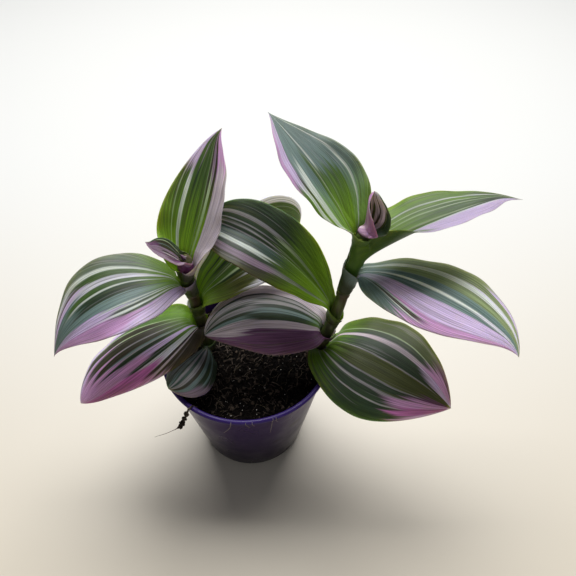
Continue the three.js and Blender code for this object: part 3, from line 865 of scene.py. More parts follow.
def blade_row(leaf, root, midrib, axes, t):
    along, normal, side = axes
    radius = root[3]
    fade = max(0, 1 - t * leaf["length"] / leaf["flare"]) ** FLARE_POWER
    hook = leaf["hook"] * max(0, (t - HOOK_START) / (1 - HOOK_START)) ** 2
    row, reaches = [], []
    for v in np.linspace(-1, 1, LEAF_COLUMNS):
        left = v >= 0
        spare = max(math.pi * radius - SHEATH_SLIT / 2 - blade_half_width(leaf, 0, left), 0)
        reach = abs(v) * (blade_half_width(leaf, t, left) + spare * fade)
        wrap = for_side(leaf, "wrap", "wrap_right", left)
        wrapped = math.exp(-((t / wrap) ** UNWRAP_POWER))
        bend = wrapped / radius + leaf["curl"] * (1 - wrapped)
        bend = bend if abs(bend) > STRAIGHT else STRAIGHT
        fold = math.radians(for_side(leaf, "fold", "fold_right", left)) * ease(t / FOLD_START)
        fold *= 1 - (LEFT_FOLD_FADE if left else leaf["fold_fade"]) * t
        out = (math.sin(fold + bend * reach) - math.sin(fold)) / bend
        up = (math.cos(fold) - math.cos(fold + bend * reach)) / bend
        lobe = leaf["lobe_left"] if left else leaf["lobe_right"]
        back = lobe * v ** 2 * max(0, 1 - t / LOBE_END) ** 2 * ease(t / LOBE_START)
        place = midrib + side * (math.copysign(out, v) + hook) + normal * up - along * back
        row.append(place + mouth_rise(leaf, v, max(0, 1 - t / MOUTH_END) ** 2))
        reaches.append(math.copysign(reach, v))
    return np.array(row), reaches


def sheath_row(leaf, root, depth):
    direction, outward, radius = root[1:]
    height = leaf["node"] - depth * direction[2]
    centre = stem_point(leaf["stem"], height)
    closer = ease(depth / SHEATH_CLOSING)
    around = radius + (stem_radius(height) + SHEATH_CLEARANCE - radius) * closer
    side = np.cross(direction, outward)
    shares = np.linspace(-1, 1, LEAF_COLUMNS)
    climb = 1 - depth / (leaf["sheath"] + leaf["hem"])
    half_turn = math.pi - SHEATH_SLIT / 2 / radius
    return np.array([centre + mouth_rise(leaf, v, climb)
                     + around * (outward * math.cos(v * half_turn) + side * math.sin(v * half_turn))
                     for v in shares])


# %% [markdown]
# A blade isn't a plain sheet. Its margins wave a little, fine veins run along
# it, and the midrib lies in a shallow groove. These are small lifts along the
# surface's normal, so they show in the mesh itself and not only in shading.

# %% The relief of a leaf
GROOVE_DEPTH = 0.16
GROOVE_WIDTH = 0.6
VEIN_HEIGHT = 0.022
VEIN_SPACING = 1.5
MARGIN_WAVES = (2.4, 5.3)


def relief(leaf, seed, v, t, reach):
    open_part = ease(t / FOLD_START)
    groove = -GROOVE_DEPTH * math.exp(-((reach / GROOVE_WIDTH) ** 2)) * (1 - t * 0.6)
    veins = VEIN_HEIGHT * math.cos(2 * math.pi * reach / VEIN_SPACING)
    phase = seed * 1.7 + (2.1 if v > 0 else 0.0)
    slow, quick = (math.sin(math.tau * count * t + phase) for count in MARGIN_WAVES)
    waves = slow + quick / 2
    margin = leaf["wave"] * abs(v) ** 3 * waves * open_part * (1 - t ** 4)
    buckle = 0.25 * leaf["wave"] * noise.noise((reach * 0.12, t * 5.0, seed * 3.1)) * open_part
    return groove * open_part + veins * (1 - abs(v) ** 6) + margin + buckle


def grid_normals(grid):
    along = np.gradient(grid, axis=0)
    side = np.gradient(grid, axis=1)
    normals = np.cross(along, side)
    return normals / np.linalg.norm(normals, axis=2, keepdims=True)


def leaf_grid(leaf, seed):
    """Points, normals and (u, v) of a leaf, from the sheath's hem to the tip."""
    root = leaf_root(leaf)
    rows, lifts, shares = [], [], []
    columns = np.linspace(-1, 1, LEAF_COLUMNS)
    sheath = leaf["sheath"] + leaf["hem"]
    for i in range(SHEATH_ROWS, 0, -1):
        depth = sheath * i / SHEATH_ROWS
        rows.append(sheath_row(leaf, root, depth))
        lifts.append([0.0] * LEAF_COLUMNS)
        shares.append(-depth / leaf["length"])
    midrib = root[0] + root[2] * root[3]
    t = 0.0
    for i in range(LEAF_ROWS + 1):
        following = (i / LEAF_ROWS) ** ROW_POWER
        for _ in range(MIDRIB_SUBSTEPS):
            step = (following - t) / MIDRIB_SUBSTEPS
            midrib = midrib + leaf_frame(leaf, root, t + step / 2)[0] * step * leaf["length"]
        t = following
        row, reaches = blade_row(leaf, root, midrib, leaf_frame(leaf, root, t), t)
        rows.append(row)
        lifts.append([relief(leaf, seed, v, t, reach) for v, reach in zip(columns, reaches)])
        shares.append(t)
    grid = np.array(rows)
    grid += grid_normals(grid) * np.array(lifts)[:, :, None]
    return grid, grid_normals(grid), np.array(shares)


# %% [markdown]
# The solid leaf has a top grid and a bottom grid that share their rim. It is
# thickest at the midrib and thins to a rounded edge. `u` runs from the right
# margin to the left one and `v` from base to tip, for the stripes. A second
# attribute says which faces are the underside.


# %% A solid leaf from its middle surface
def leaf_mesh(name, leaf, seed):
    grid, normals, shares = leaf_grid(leaf, seed)
    rows, columns = grid.shape[:2]
    v = np.linspace(-1, 1, columns)
    rim = np.sqrt(np.clip(1 - np.abs(v) ** 10, 0, 1)) * (1 - 0.45 * v ** 2)
    ends = np.minimum(np.arange(rows), np.arange(rows)[::-1])
    ends = np.clip(ends / 3, 0, 1) * (1 - 0.5 * np.clip(shares, 0, 1) ** 3)
    thick = LEAF_THICKNESS / 2 * ends[:, None] * rim[None, :]
    top = grid + normals * thick[:, :, None]
    under = grid - normals * thick[:, :, None]
    top_index = np.arange(rows * columns).reshape(rows, columns)
    under_index = top_index.copy()
    inner = (rows - 2) * (columns - 2)
    under_index[1:-1, 1:-1] = rows * columns + np.arange(inner).reshape(rows - 2, columns - 2)
    points = np.vstack([top.reshape(-1, 3), under[1:-1, 1:-1].reshape(-1, 3)])
    faces, below = [], []
    for index, flip in ((top_index, False), (under_index, True)):
        for r in range(rows - 1):
            for s in range(columns - 1):
                corners = [index[r, s], index[r + 1, s], index[r + 1, s + 1], index[r, s + 1]]
                faces.append(tuple(int(c) for c in (corners[::-1] if flip else corners)))
                below.append(float(flip))
    mesh = mesh_from(name, points, faces)
    across = np.tile(np.linspace(0, 1, columns), (rows, 1))
    places = np.stack([across, np.tile(shares[:, None], (1, columns))], axis=2)
    flat = np.vstack([places.reshape(-1, 2), places[1:-1, 1:-1].reshape(-1, 2)])
    corner_points = np.empty(len(mesh.loops), dtype=int)
    mesh.loops.foreach_get("vertex_index", corner_points)
    mesh.uv_layers.new(name="stripes").data.foreach_set("uv", flat[corner_points].ravel())
    mesh.attributes.new("underside", "FLOAT", "FACE").data.foreach_set("value", below)
    return mesh


# %% [markdown]
# ## Stripes
#
# Every leaf has its own stripes, which run from base to tip as the veins do.
# A leaf's stripes are two lists of bands from the right margin to the left:
# `low` for the part near the base and `high` for the part near the tip. Each
# band is a colour's name and where it ends, as seen half way up the leaf.
# `reach` pairs some places across with how far up the low colours go there, so
# a dark band can end as a wedge. The veins gather towards the base: `gather` is the
# place across that they make for, how strongly and how late they do so.
# `lean` pushes the base's stripes to the left. `tint` is how strongly the base
# turns to the colour `base`, and between which places along; `wash` is how far
# even its pink bands do so. `under` is the underside's tint and its share,
# `sheath` the tint at the sheath, and `shade` is painted light and shade: how
# much lighter or darker the whole leaf is made for how much light falls on it.

# %% The palette
# backlit_green is painted light: the bright yellow-green of light shining through a leaf near its
# base.
PALETTE_CODES = dict(
    deep_green="21341c", leaf_green="3f5b25", yellow_green="527510", blue_green="2b463b",
    sage="667b76", grey_green="566553", olive="42491e", brown_olive="302e1d", brown="2f271c",
    cream="c3cac2", pale_green="94a480", pale_grey="8e8b8c", white_pink="c2c1ca",
    lilac="bcaacb", ash="aa9ea5", mauve="836f80", pink="b58bb6", magenta="a8649f",
    purple="5e3a5a", backlit_green="6e950c", light_olive="7c8a62", dark_olive="36440a")
PALETTE = {name: colour(code) for name, code in PALETTE_CODES.items()}
GREENS = {"deep_green", "leaf_green", "yellow_green", "blue_green", "sage", "grey_green",
          "olive", "brown_olive", "light_olive", "dark_olive"}
PALES = {"cream", "pale_green", "pale_grey", "white_pink"}
PALE_TINTING = 0.4
SHEATH_TINTS = {"dark": colour("343a17"), "green": colour("4a6c1e"), "magenta": colour("6e3460")}

# %% The stripes of each leaf
# By default the base is tinted backlit_green: painted light shining through the leaf.
STRIPE_DEFAULTS = dict(lean=(0, 1), base="backlit_green", wash=0.0, under=("mauve", 0.6),
                       sheath="dark", shade=1.0)

# Each leaf's `shade` is painted light and shade, set for how much light falls on that leaf.
STRIPES = {
    # leaf_left_1 lies in shade: its low `shade` is painted shade, and its pale bands are greyed as
    # painted shade.
    "leaf_left_1": dict(
        shade=0.85,
        gather=(.6, .3, 2), tint=(.3, .02, .2),
        low="deep_green .22, sage .27, deep_green .32, sage .4, blue_green .44, pale_grey .5, "
            "blue_green .55, pale_grey .62, brown_olive .68, sage .75, deep_green .83, sage .87, "
            "deep_green 1",
        high="deep_green .32, sage .4, blue_green .44, pale_grey .5, blue_green .55, pale_grey "
             ".62, brown_olive .7, sage .78, mauve 1",
        reach="0 .6, .3 .8, .5 .7, .7 .85, 1 .6"),
    "leaf_left_2": dict(
        shade=1.4,
        gather=(.62, .8, 1), tint=(1, .08, .36), base="yellow_green",
        low="leaf_green .225, pale_green .245, brown_olive .345, pale_green .36, brown_olive "
            ".475, pale_grey .49, brown_olive .56, sage .585, pale_grey .6, deep_green .655, "
            "lilac .725, deep_green .795, white_pink .885, brown .925, ash .95, brown 1",
        high="lilac .35, pink .78, magenta .95, pink 1",
        reach="0 .46, .2 .5, .25 .8, .29 .9, .33 .8, .355 .6, .39 .82, .43 .86, .47 .82, .485 "
              ".6, .51 .8, .55 .85, .575 .6, .6 .6, .63 .78, .66 .5, .7 .4, .75 .5, .765 .66, "
              ".79 .6, .81 .4, .88 .38, .9 .5, 1 .45"),
    "leaf_left_3": dict(
        shade=1.65,
        gather=(.5, .3, 2), tint=(.6, .05, .3),
        low="olive .3, deep_green .34, pale_green .37, leaf_green .45, pale_green .47, "
            "leaf_green .55, deep_green .6, yellow_green .7, deep_green .73, yellow_green .84, "
            "leaf_green .94, white_pink 1",
        high="white_pink .15, sage .2, white_pink .25, sage .31, pale_grey .36, leaf_green .44, "
             "pale_green .48, leaf_green .88, white_pink 1",
        reach="0 .35, .15 .5, .25 .4, .4 .6, .6 .7, .9 .5, 1 .3"),
    "leaf_left_4": dict(
        shade=0.92,
        gather=(.7, .65, 2), tint=(.9, .08, .34),
        low="grey_green .12, cream .165, leaf_green .25, white_pink .32, leaf_green .385, cream "
            ".405, deep_green .52, sage .65, cream .665, sage .69, cream .71, deep_green .74, "
            "cream .77, deep_green .81, lilac 1",
        high="grey_green .14, white_pink .2, mauve .23, lilac .29, sage .62, lilac .76, pink 1",
        reach="0 .7, .15 .72, .2 .66, .3 .62, .36 .75, .45 .7, .56 .68, .64 .62, .68 .45, .71 "
              ".5, .75 .58, .79 .5, .83 .3, 1 .6"),
    "leaf_left_5": dict(
        shade=1.08,
        gather=(.57, .6, 1.3), tint=(.9, .1, .7),
        low="ash .3, brown_olive .365, pale_green .43, brown_olive .49, pale_green .5, "
            "leaf_green .66, deep_green .69, leaf_green .745, cream .8, leaf_green .88, "
            "pale_green .89, leaf_green 1",
        high="magenta .1, pink .3, brown_olive .36, mauve .43, brown_olive .49, pale_green .52, "
             "leaf_green .64, deep_green .66, pale_grey .68, leaf_green .76, lilac 1",
        reach="0 .85, .1 .72, .25 .74, .3 .6, .36 .62, .42 .65, .46 .86, .6 .86, .7 .7, .8 .68, "
              "1 .76"),
    "bud_left": dict(
        gather=(.5, .3, 2), tint=(.3, .02, .3), base="olive", under=("magenta", .8),
        sheath="magenta",
        low="deep_green .08, pale_green .1, brown_olive .2, sage .22, brown_olive .32, mauve .4, "
            "brown .44, ash .48, brown .55, purple .64, brown .69, purple .85, mauve 1",
        high="deep_green .12, purple .3, mauve .5, purple .6, mauve 1",
        reach="0 .85, .2 .7, .32 .6, .45 .55, .55 .5, .7 .55, 1 .3"),
    "leaf_right_1": dict(
        shade=1.2,
        gather=(.75, .1, 1.5), tint=(.9, .05, .3), base="yellow_green",
        low="deep_green .17, pale_grey .18, deep_green .27, pale_grey .295, deep_green .365, "
            "pale_grey .375, olive .56, pale_grey .57, deep_green .7, ash .745, deep_green .81, "
            "pale_green .817, dark_olive 1",
        high="pink .08, magenta .2, pink .34, purple .44, olive .6, lilac .72, pink .88, purple "
             "1",
        reach="0 .8, .1 .72, .14 .66, .18 .72, .27 .62, .3 .75, .37 .82, .5 .88, .6 .85, .66 "
              ".75, .72 .68, .76 .78, .82 .8, 1 .85"),
    # The near half's purple and ash bands, and its purple underside, are partly the leaf's mauve
    # and partly painted shade, darker where that half lies in shadow.
    "leaf_right_2": dict(
        shade=1.08,
        gather=(.5, .3, 2), tint=(.4, .02, .2), under=("purple", .6),
        low="ash .2, deep_green .225, pale_grey .29, deep_green .315, pale_grey .38, deep_green "
            ".44, sage .51, deep_green .6, ash .7, purple 1",
        high="ash .2, deep_green .24, pale_grey .34, deep_green .39, pale_grey .47, deep_green "
             ".52, sage .58, ash .8, purple 1",
        reach="0 .7, .4 .6, .6 .65, 1 .8"),
    "leaf_right_3": dict(
        shade=0.88,
        gather=(.72, .55, .6), tint=(1, .24, .6),
        low="leaf_green .345, pale_green .39, leaf_green .45, pale_green .463, leaf_green .49, "
            "pale_green .503, deep_green .755, pale_grey .83, brown_olive 1",
        high="deep_green .32, pale_grey .365, deep_green .42, pale_grey .432, deep_green .47, "
             "pale_grey .483, deep_green .52, pale_grey .535, blue_green .65, cream .71, "
             "deep_green .765, mauve .85, brown_olive 1",
        reach="0 .5, .3 .45, .36 .6, .5 .5, .7 .55, .76 .5, .86 .5, 1 .6"),
    "leaf_right_4": dict(
        shade=1.42,
        gather=(1.05, .6, 4), tint=(.9, .1, .3), base="sage", wash=.7,
        low="sage .03, cream .045, brown_olive .09, cream .105, sage .12, lilac .36, sage .46, "
            "cream .5, sage .6, light_olive .72, cream .8, light_olive 1",
        high="pink .15, lilac .385, grey_green .405, white_pink .49, sage .6, light_olive .735, "
             "white_pink .82, light_olive .92, lilac 1",
        reach="0 .35, .06 .5, .09 .5, .12 .28, .3 .32, .37 .5, .4 .8, .45 .7, .52 .75, .6 .88, "
              ".74 .85, .8 .6, .88 .7, 1 .75"),
    "leaf_right_5": dict(
        shade=0.78,
        gather=(.5, .15, 3), tint=(.9, .08, .62), under=("leaf_green", .85), sheath="green",
        low="leaf_green .2, sage .5, leaf_green .54, pale_green .56, leaf_green .67, pale_green "
            ".685, leaf_green .73, pale_green .745, yellow_green .8, cream .82, yellow_green 1",
        high="lilac .44, white_pink .5, cream .52, deep_green .67, pale_green .69, leaf_green "
             ".81, cream .85, leaf_green 1",
        reach="0 .3, .1 .38, .25 .3, .45 .3, .5 .35, .54 .75, .7 .85, .8 .7, 1 .85"),
    "leaf_right_6": dict(
        shade=0.86,
        gather=(.55, .0, 1), lean=(.45, 6.5), tint=(.8, .12, .52), sheath="green",
        low="sage .14, cream .165, sage .24, leaf_green .475, pale_green .495, leaf_green .54, "
            "sage .675, cream .78, brown_olive .83, cream .9, leaf_green 1",
        high="sage .12, cream .14, sage .44, cream .46, sage .8, lilac .93, pink 1",
        reach="0 .5, .2 .6, .24 .5, .45 .5, .5 .65, .6 .65, .7 .6, .78 .5, .85 .48, 1 .45"),
    "bud_right": dict(
        shade=1.5,
        gather=(.5, .3, 2), tint=(.2, .02, .2), base="olive", under=("magenta", .7),
        sheath="magenta",
        low="deep_green .12, olive .16, ash .27, brown_olive .31, ash .37, olive .42, ash .46, "
            "olive .53, ash .57, olive .64, ash .75, mauve 1",
        high="deep_green .1, ash .26, brown_olive .29, ash .38, brown_olive .4, ash 1",
        reach="0 .75, .15 .7, .27 .4, .36 .75, .5 .7, .65 .6, 1 .7"),
}
print("striped leaves:", len(STRIPES))

# %% [markdown]
# A Color Ramp can hold all the bands of one list. Its alpha says how far a band
# takes the base's colour: green ones fully, pale ones a little.

# %% Ramps from bands
BAND_SOFTNESS = 0.006


def fill_ramp(ramp, stops):
    ramp.interpolation = "LINEAR"
    elements = ramp.elements
    elements[0].position, elements[0].color = stops[0]
    elements[1].position, elements[1].color = stops[-1]
    for position, value in stops[1:-1]:
        elements.new(position).color = value


def band_ramp(tree, across, bands):
    stops, start = [], 0.0
    for band in bands.split(", "):
        name, end = band.split()
        end = float(end)
        soft = min(BAND_SOFTNESS, (end - start) / 3)
        tinting = 1.0 if name in GREENS else PALE_TINTING if name in PALES else 0.0
        tinted = PALETTE[name][:3] + (tinting,)
        stops += [(start + soft, tinted), (end - soft, tinted)]
        start = end
    ramp = add_node(tree, "ShaderNodeValToRGB", {}, {0: across})
    fill_ramp(ramp.color_ramp, stops)
    return ramp.outputs[0], ramp.outputs[1]


def reach_ramp(tree, across, reach):
    ramp = add_node(tree, "ShaderNodeValToRGB", {}, {0: across})
    places = [[float(number) for number in pair.split()] for pair in reach.split(", ")]
    fill_ramp(ramp.color_ramp, [(u, (v, v, v, 1.0)) for u, v in places])
    return ramp.outputs[0]


# %% [markdown]
# ## Leaf finish
#
# The bands have to follow the veins, so a point's place across the leaf is
# first worked out as it would be half way up. Noise then sways the bands a
# little and makes their ends ragged, and the base takes its tint.

# %% Stripes that follow the veins
VEIN_SWAY = 0.04
VEIN_WANDER = 0.02
RAGGED_ENDS = 0.35
RAGGED_BASE = 0.3
END_SOFTNESS = 0.07


def swayed(tree, value, sway, amount):
    """A value that noise moves to either side."""
    return calculate(tree, "MULTIPLY_ADD", calculate(tree, "SUBTRACT", sway, 0.5), amount, value)


def gathered(tree, across, along, gather, lean):
    """Where a point would be across the leaf half way up, following the veins."""
    centre, amount, power = gather
    left = calculate(tree, "SUBTRACT", 1.0, along)
    aside = calculate(tree, "POWER", left, lean[1])
    across = calculate(tree, "MULTIPLY_ADD", aside, -lean[0], across)
    spread = calculate(tree, "MULTIPLY_ADD", calculate(tree, "POWER", left, power), -amount, 1.0)
    factor = calculate(tree, "DIVIDE", 1 - amount * 0.5 ** power, spread)
    from_centre = calculate(tree, "SUBTRACT", across, centre)
    return calculate(tree, "MULTIPLY_ADD", from_centre, factor, centre)


def striped(tree, stripes, vein, along, place, seed):
    """The bands' colours and how green they are, before the base is tinted."""
    sway = noise_at(tree, place, 1.0, 1, (2.0, 2.2, 1), seed)
    wander = noise_at(tree, place, 1.0, 2, (16, 5, 1), seed + 4)
    across = swayed(tree, swayed(tree, vein, sway, VEIN_SWAY), wander, VEIN_WANDER)
    low, low_green = band_ramp(tree, across, stripes["low"])
    high, high_green = band_ramp(tree, across, stripes["high"])
    reach = reach_ramp(tree, across, stripes["reach"])
    ragged = noise_at(tree, place, 1.0, 3, (40, 2, 1), seed + 7)
    beyond = swayed(tree, calculate(tree, "SUBTRACT", along, reach), ragged, RAGGED_ENDS)
    beyond = fade_between(tree, beyond, -END_SOFTNESS, END_SOFTNESS)
    green = mix_colours(tree, beyond, low_green, high_green)
    return mix_colours(tree, beyond, low, high), green, ragged


# With the default backlit_green, this base tint is painted light shining through the leaf.
def base_tinted(tree, stripes, colours, green, along, ragged):
    tint, start, end = stripes["tint"]
    near_base = fade_between(tree, swayed(tree, along, ragged, RAGGED_BASE), start, end, tint, 0.0)
    green = calculate(tree, "MAXIMUM", green, stripes["wash"])
    share = calculate(tree, "MULTIPLY", green, near_base)
    return mix_colours(tree, share, colours, PALETTE[stripes["base"]]), near_base


# %% [markdown]
# The leaf's skin is smooth and a little waxy, and light goes through it, so
# it has some subsurface scattering. Fine streaks run along the veins. The
# underside takes a tint, mauve on most leaves, in which the stripes still show.

# %% The skin of a leaf
LEAF_ROUGHNESS = 0.42
LEAF_SKIN = {"Subsurface Weight": 0.5, "Subsurface Radius": (1.0, 0.9, 0.5),
             "Subsurface Scale": 0.0013, "Specular IOR Level": 0.3}
PALE_STRANDS = (0.6, 0.68, 0.0, 0.3)
DARK_STRANDS = (0.4, 0.33, 0.0, 0.45)
HAIRLINE_DARK = 0.58
HAIRLINE_LIGHT = 1.24
SHEATH_SHARE = 0.92


def streaked(tree, colours, strands, hairlines, near_base, shade):
    """Strands and fine lines along the veins, pale and dark, and painted light and shade."""
    away = calculate(tree, "SUBTRACT", 1.0, near_base)
    pale = calculate(tree, "MULTIPLY", fade_between(tree, strands, *PALE_STRANDS), away)
    colours = mix_colours(tree, pale, colours, PALETTE["pale_grey"])
    dark = fade_between(tree, strands, *DARK_STRANDS)
    colours = mix_colours(tree, dark, colours, PALETTE["olive"])
    # The leaf's `shade` scales its whole colour here: painted light and shade.
    hairlines_and_painted_light = fade_between(tree, hairlines, 0.33, 0.67, HAIRLINE_DARK * shade,
                           HAIRLINE_LIGHT * shade)
    grey = add_node(tree, "ShaderNodeCombineColor", {}, dict.fromkeys(range(3), hairlines_and_painted_light))
    return mix_colours(tree, 1.0, colours, grey.outputs[0], "MULTIPLY")


def underside_tinted(tree, stripes, colours, along, height):
    below = add_node(tree, "ShaderNodeAttribute", {"attribute_name": "underside"}).outputs["Fac"]
    tint, most = stripes["under"]
    dull = fade_between(tree, along, 0.0, 0.25, 0.15, most)
    colours = mix_colours(tree, calculate(tree, "MULTIPLY", below, dull), colours, PALETTE[tint])
    on_sheath = fade_between(tree, height, -0.02, 0.05, SHEATH_SHARE, 0.0)
    return mix_colours(tree, calculate(tree, "MULTIPLY", below, on_sheath), colours,
                       SHEATH_TINTS[stripes["sheath"]])


def leaf_material(name, seed, stripes):
    stripes = {**STRIPE_DEFAULTS, **stripes}
    material, tree, shader = new_material(name, LEAF_ROUGHNESS, LEAF_SKIN)
    place = add_node(tree, "ShaderNodeUVMap", {"uv_map": "stripes"}).outputs[0]
    parts = add_node(tree, "ShaderNodeSeparateXYZ", {}, {0: place}).outputs
    along = calculate(tree, "MAXIMUM", parts[1], 0.0)
    vein = gathered(tree, parts[0], along, stripes["gather"], stripes["lean"])
    place = add_node(tree, "ShaderNodeCombineXYZ", {}, {0: vein, 1: parts[1]}).outputs[0]
    hairlines = noise_at(tree, place, 1.0, 4, (120, 2.5, 1), seed + 2)
    strands = noise_at(tree, place, 1.0, 2, (38, 1.5, 1), seed + 9)

    colours, green, ragged = striped(tree, stripes, vein, along, place, seed)
    colours, near_base = base_tinted(tree, stripes, colours, green, along, ragged)
    colours = streaked(tree, colours, strands, hairlines, near_base, stripes["shade"])
    colours = underside_tinted(tree, stripes, colours, along, parts[1])
    feed(tree, shader.inputs["Base Color"], colours)

    grain = noise_at(tree, object_place(tree), 3000, 1)
    add_bump(tree, shader, calculate(tree, "MULTIPLY_ADD", grain, 0.35, hairlines), 0.35, 0.0002)
    feed(tree, shader.inputs["Roughness"], fade_between(tree, hairlines, 0.3, 0.7, 0.4, 0.55))
    return material


# %% Make the leaves
for number, (name, shape) in enumerate(LEAVES.items()):
    leaf = {**LEAF_DEFAULTS, **shape}
    piece = add_piece(name + "_blade", leaf_mesh(name + "_blade", leaf, number), name)
    piece.data.materials.append(leaf_material(name + "_skin", number * 3.7, STRIPES[name]))

# %% [markdown]
# ## Stem skins
#
# The stems are made by the tube tree, with a little swelling below every
# sheath. Their skin is dark olive with a reddish flush and fine streaks.

# %% Make the stems
STEM_STEP = 0.5
NODE_RING = 0.35
NODE_RING_LENGTH = 1.1
STEM_TIP_STEPS = (0, 0.9, 1.6)
STEM_TIP_NARROWING = 0.7
STEM_TIP_RADIUS = 0.25


def node_swelling(stem, height):
    swell = 0.0
    for shape in LEAVES.values():
        leaf = {**LEAF_DEFAULTS, **shape}
        if leaf["stem"] == stem:
            away = height - (leaf["node"] - leaf["sheath"] - NODE_RING_LENGTH)
            swell = max(swell, NODE_RING * (1 - (away / NODE_RING_LENGTH) ** 2))
    return swell


def stem_path(stem):
    top = STEM_TOPS[stem]
    tip = [top + step for step in STEM_TIP_STEPS]
    heights = np.append(np.arange(STEM_FOOT, top, STEM_STEP), tip)
    line = [stem_point(stem, height) for height in heights]
    radii = [stem_radius(height) + node_swelling(stem, height) for height in heights]
    radii[-2] *= STEM_TIP_NARROWING
    radii[-1] = STEM_TIP_RADIUS
    return line, radii


STEM_OLIVE = colour("39431f")
STEM_GREEN = colour("5b6b2f")
STEM_RED = colour("4a2c26")


def stem_material():
    material, tree, shader = new_material("stem_skin", 0.45, {
        "Subsurface Weight": 0.15, "Subsurface Radius": (1.0, 0.7, 0.4),
        "Subsurface Scale": 0.001})
    place = object_place(tree)
    streaks = noise_at(tree, place, 700, 3, (1, 1, 0.08))
    flush = noise_at(tree, place, 70, 2, shift=4.0)
    skin = in_patches(tree, STEM_OLIVE, STEM_GREEN, streaks, 0.35, 0.7)
    skin = in_patches(tree, skin, STEM_RED, flush, 0.45, 0.65, 0.75)
    tree.links.new(skin, shader.inputs["Base Color"])
    add_bump(tree, shader, streaks, 0.5, 0.0003)
    return material


STEM_SKIN = stem_material()
for stem in STEM_ROUTES:
    mesh = grow(f"stem_{stem}_cane", TUBE, path_mesh("path", [stem_path(stem)]), STEM_SKIN,
                {"Sides": 28, "Ripple": 0.16 * MM, "Ripple Scale": 500.0})
    add_piece(f"stem_{stem}_cane", mesh, replaced=f"stem_{stem}")

# %% [markdown]
# The growing tip inside each bud is a small spindle of rolled young leaf. It is
# a lathe that is pointed along the bud, striped like the leaf around it.

# %% The hearts of the buds
HEARTS = {
    "bud_left": dict(foot=(-16.1, 3.4, 88.8), heading=205, rise=66),
    "bud_right": dict(foot=(37.6, 2.6, 102.8), heading=80, rise=86),
}
HEART_LENGTH = 4.5
HEART_RADIUS = 0.9
HEART_SIDES = 36
HEART_RINGS = 40


def heart_mesh(name, foot, heading, rise):
    shares = np.linspace(0, 1, HEART_RINGS)
    widths = HEART_RADIUS * (shares * 1.05 + 0.08) ** 0.45 * (1 - shares) ** 0.75 * 1.9
    profile = [(float(w), float(t * HEART_LENGTH)) for w, t in zip(widths, shares)]
    profile[0], profile[-1] = (0.0, 0.0), (0.0, HEART_LENGTH)
    points, faces = lathe(profile, HEART_SIDES)
    lean, turn = math.radians(90 - rise), math.radians(heading)
    x, y, z = np.array(points).T
    out = x * math.cos(lean) + z * math.sin(lean)
    up = z * math.cos(lean) - x * math.sin(lean)
    placed = np.stack([out * math.cos(turn) - y * math.sin(turn),
                       out * math.sin(turn) + y * math.cos(turn), up], axis=1) + foot
    mesh = mesh_from(name, placed, faces)
    around = (np.arctan2(y, x) / math.tau) % 1.0
    layer = mesh.uv_layers.new(name="stripes").data
    for polygon in mesh.polygons:
        corners = [mesh.loops[i].vertex_index for i in polygon.loop_indices]
        turns = [around[c] for c in corners]
        wraps = max(turns) - min(turns) > 0.5
        for i, c, share in zip(polygon.loop_indices, corners, turns):
            layer[i].uv = (share + 1.0 if wraps and share < 0.5 else share, z[c] / HEART_LENGTH)
    return mesh


for name, shape in HEARTS.items():
    heart = add_piece(name + "_heart", heart_mesh(name + "_heart", **shape))
    heart.data.materials.append(bpy.data.materials[name + "_skin"])

# %% [markdown]
# ## Fibres, hairs and roots
#
# Short dry fibres lie all over the peat, and a few long pale ones. Some white
# root hairs hang over the lip of the pot, and one root with a clump of soil has
# come out under the leaves at the left. All but the clump use the tube tree.

# %% Lay the fibres
FIBRE_COUNT = 380
PALE_FIBRE_COUNT = 30
FIBRE_REACH = 25.5
FIBRE_BROWN = colour("5e5247")
FIBRE_PALE = colour("85775f")
ROOT_WHITE = colour("b9aea0")


def thread_material(name, shade, dark_share):
    material, tree, shader = new_material(name, 0.6, {"Specular IOR Level": 0.2})
    place = object_place(tree)
    cloud = noise_at(tree, place, 500, 2)
    patched = in_patches(tree, shade, PEAT_BROWN, cloud, 0.35, 0.65, dark_share)
    tree.links.new(patched, shader.inputs["Base Color"])
    add_bump(tree, shader, noise_at(tree, place, 2500, 2), 0.4, 0.0001)
    return material


def soil_fibres(count, lengths, thickness, seed):
    dice = np.random.default_rng(seed)
    strands = []
    for _ in range(count):
        radius, angle = FIBRE_REACH * math.sqrt(dice.random()), dice.random() * math.tau
        heading, bend = dice.random() * math.tau, dice.uniform(-0.5, 0.5)
        length = dice.uniform(*lengths)
        x, y = radius * math.cos(angle), radius * math.sin(angle)
        line = []
        for step in range(6):
            lift = 0.25 + 0.5 * math.sin(math.pi * step / 5) * dice.random()
            line.append((x, y, soil_height(x, y) + lift))
            heading += bend * 0.5
            x += length / 5 * math.cos(heading)
            y += length / 5 * math.sin(heading)
        if math.hypot(x, y) < FIBRE_REACH:
            strands.append((line, np.linspace(1, 0.5, 6) * dice.uniform(*thickness)))
    return strands


def add_threads(name, strands, material, sides=5):
    mesh = grow(name, TUBE, path_mesh(name + "_paths", strands), material, {"Sides": sides})
    return add_piece(name, mesh)


add_threads("soil_fibres", soil_fibres(FIBRE_COUNT, (1, 4), (0.08, 0.26), 7),
            thread_material("brown_fibre", FIBRE_BROWN, 0.7))
add_threads("soil_pale_fibres", soil_fibres(PALE_FIBRE_COUNT, (2, 6), (0.04, 0.08), 19),
            thread_material("pale_fibre", FIBRE_PALE, 0.3))

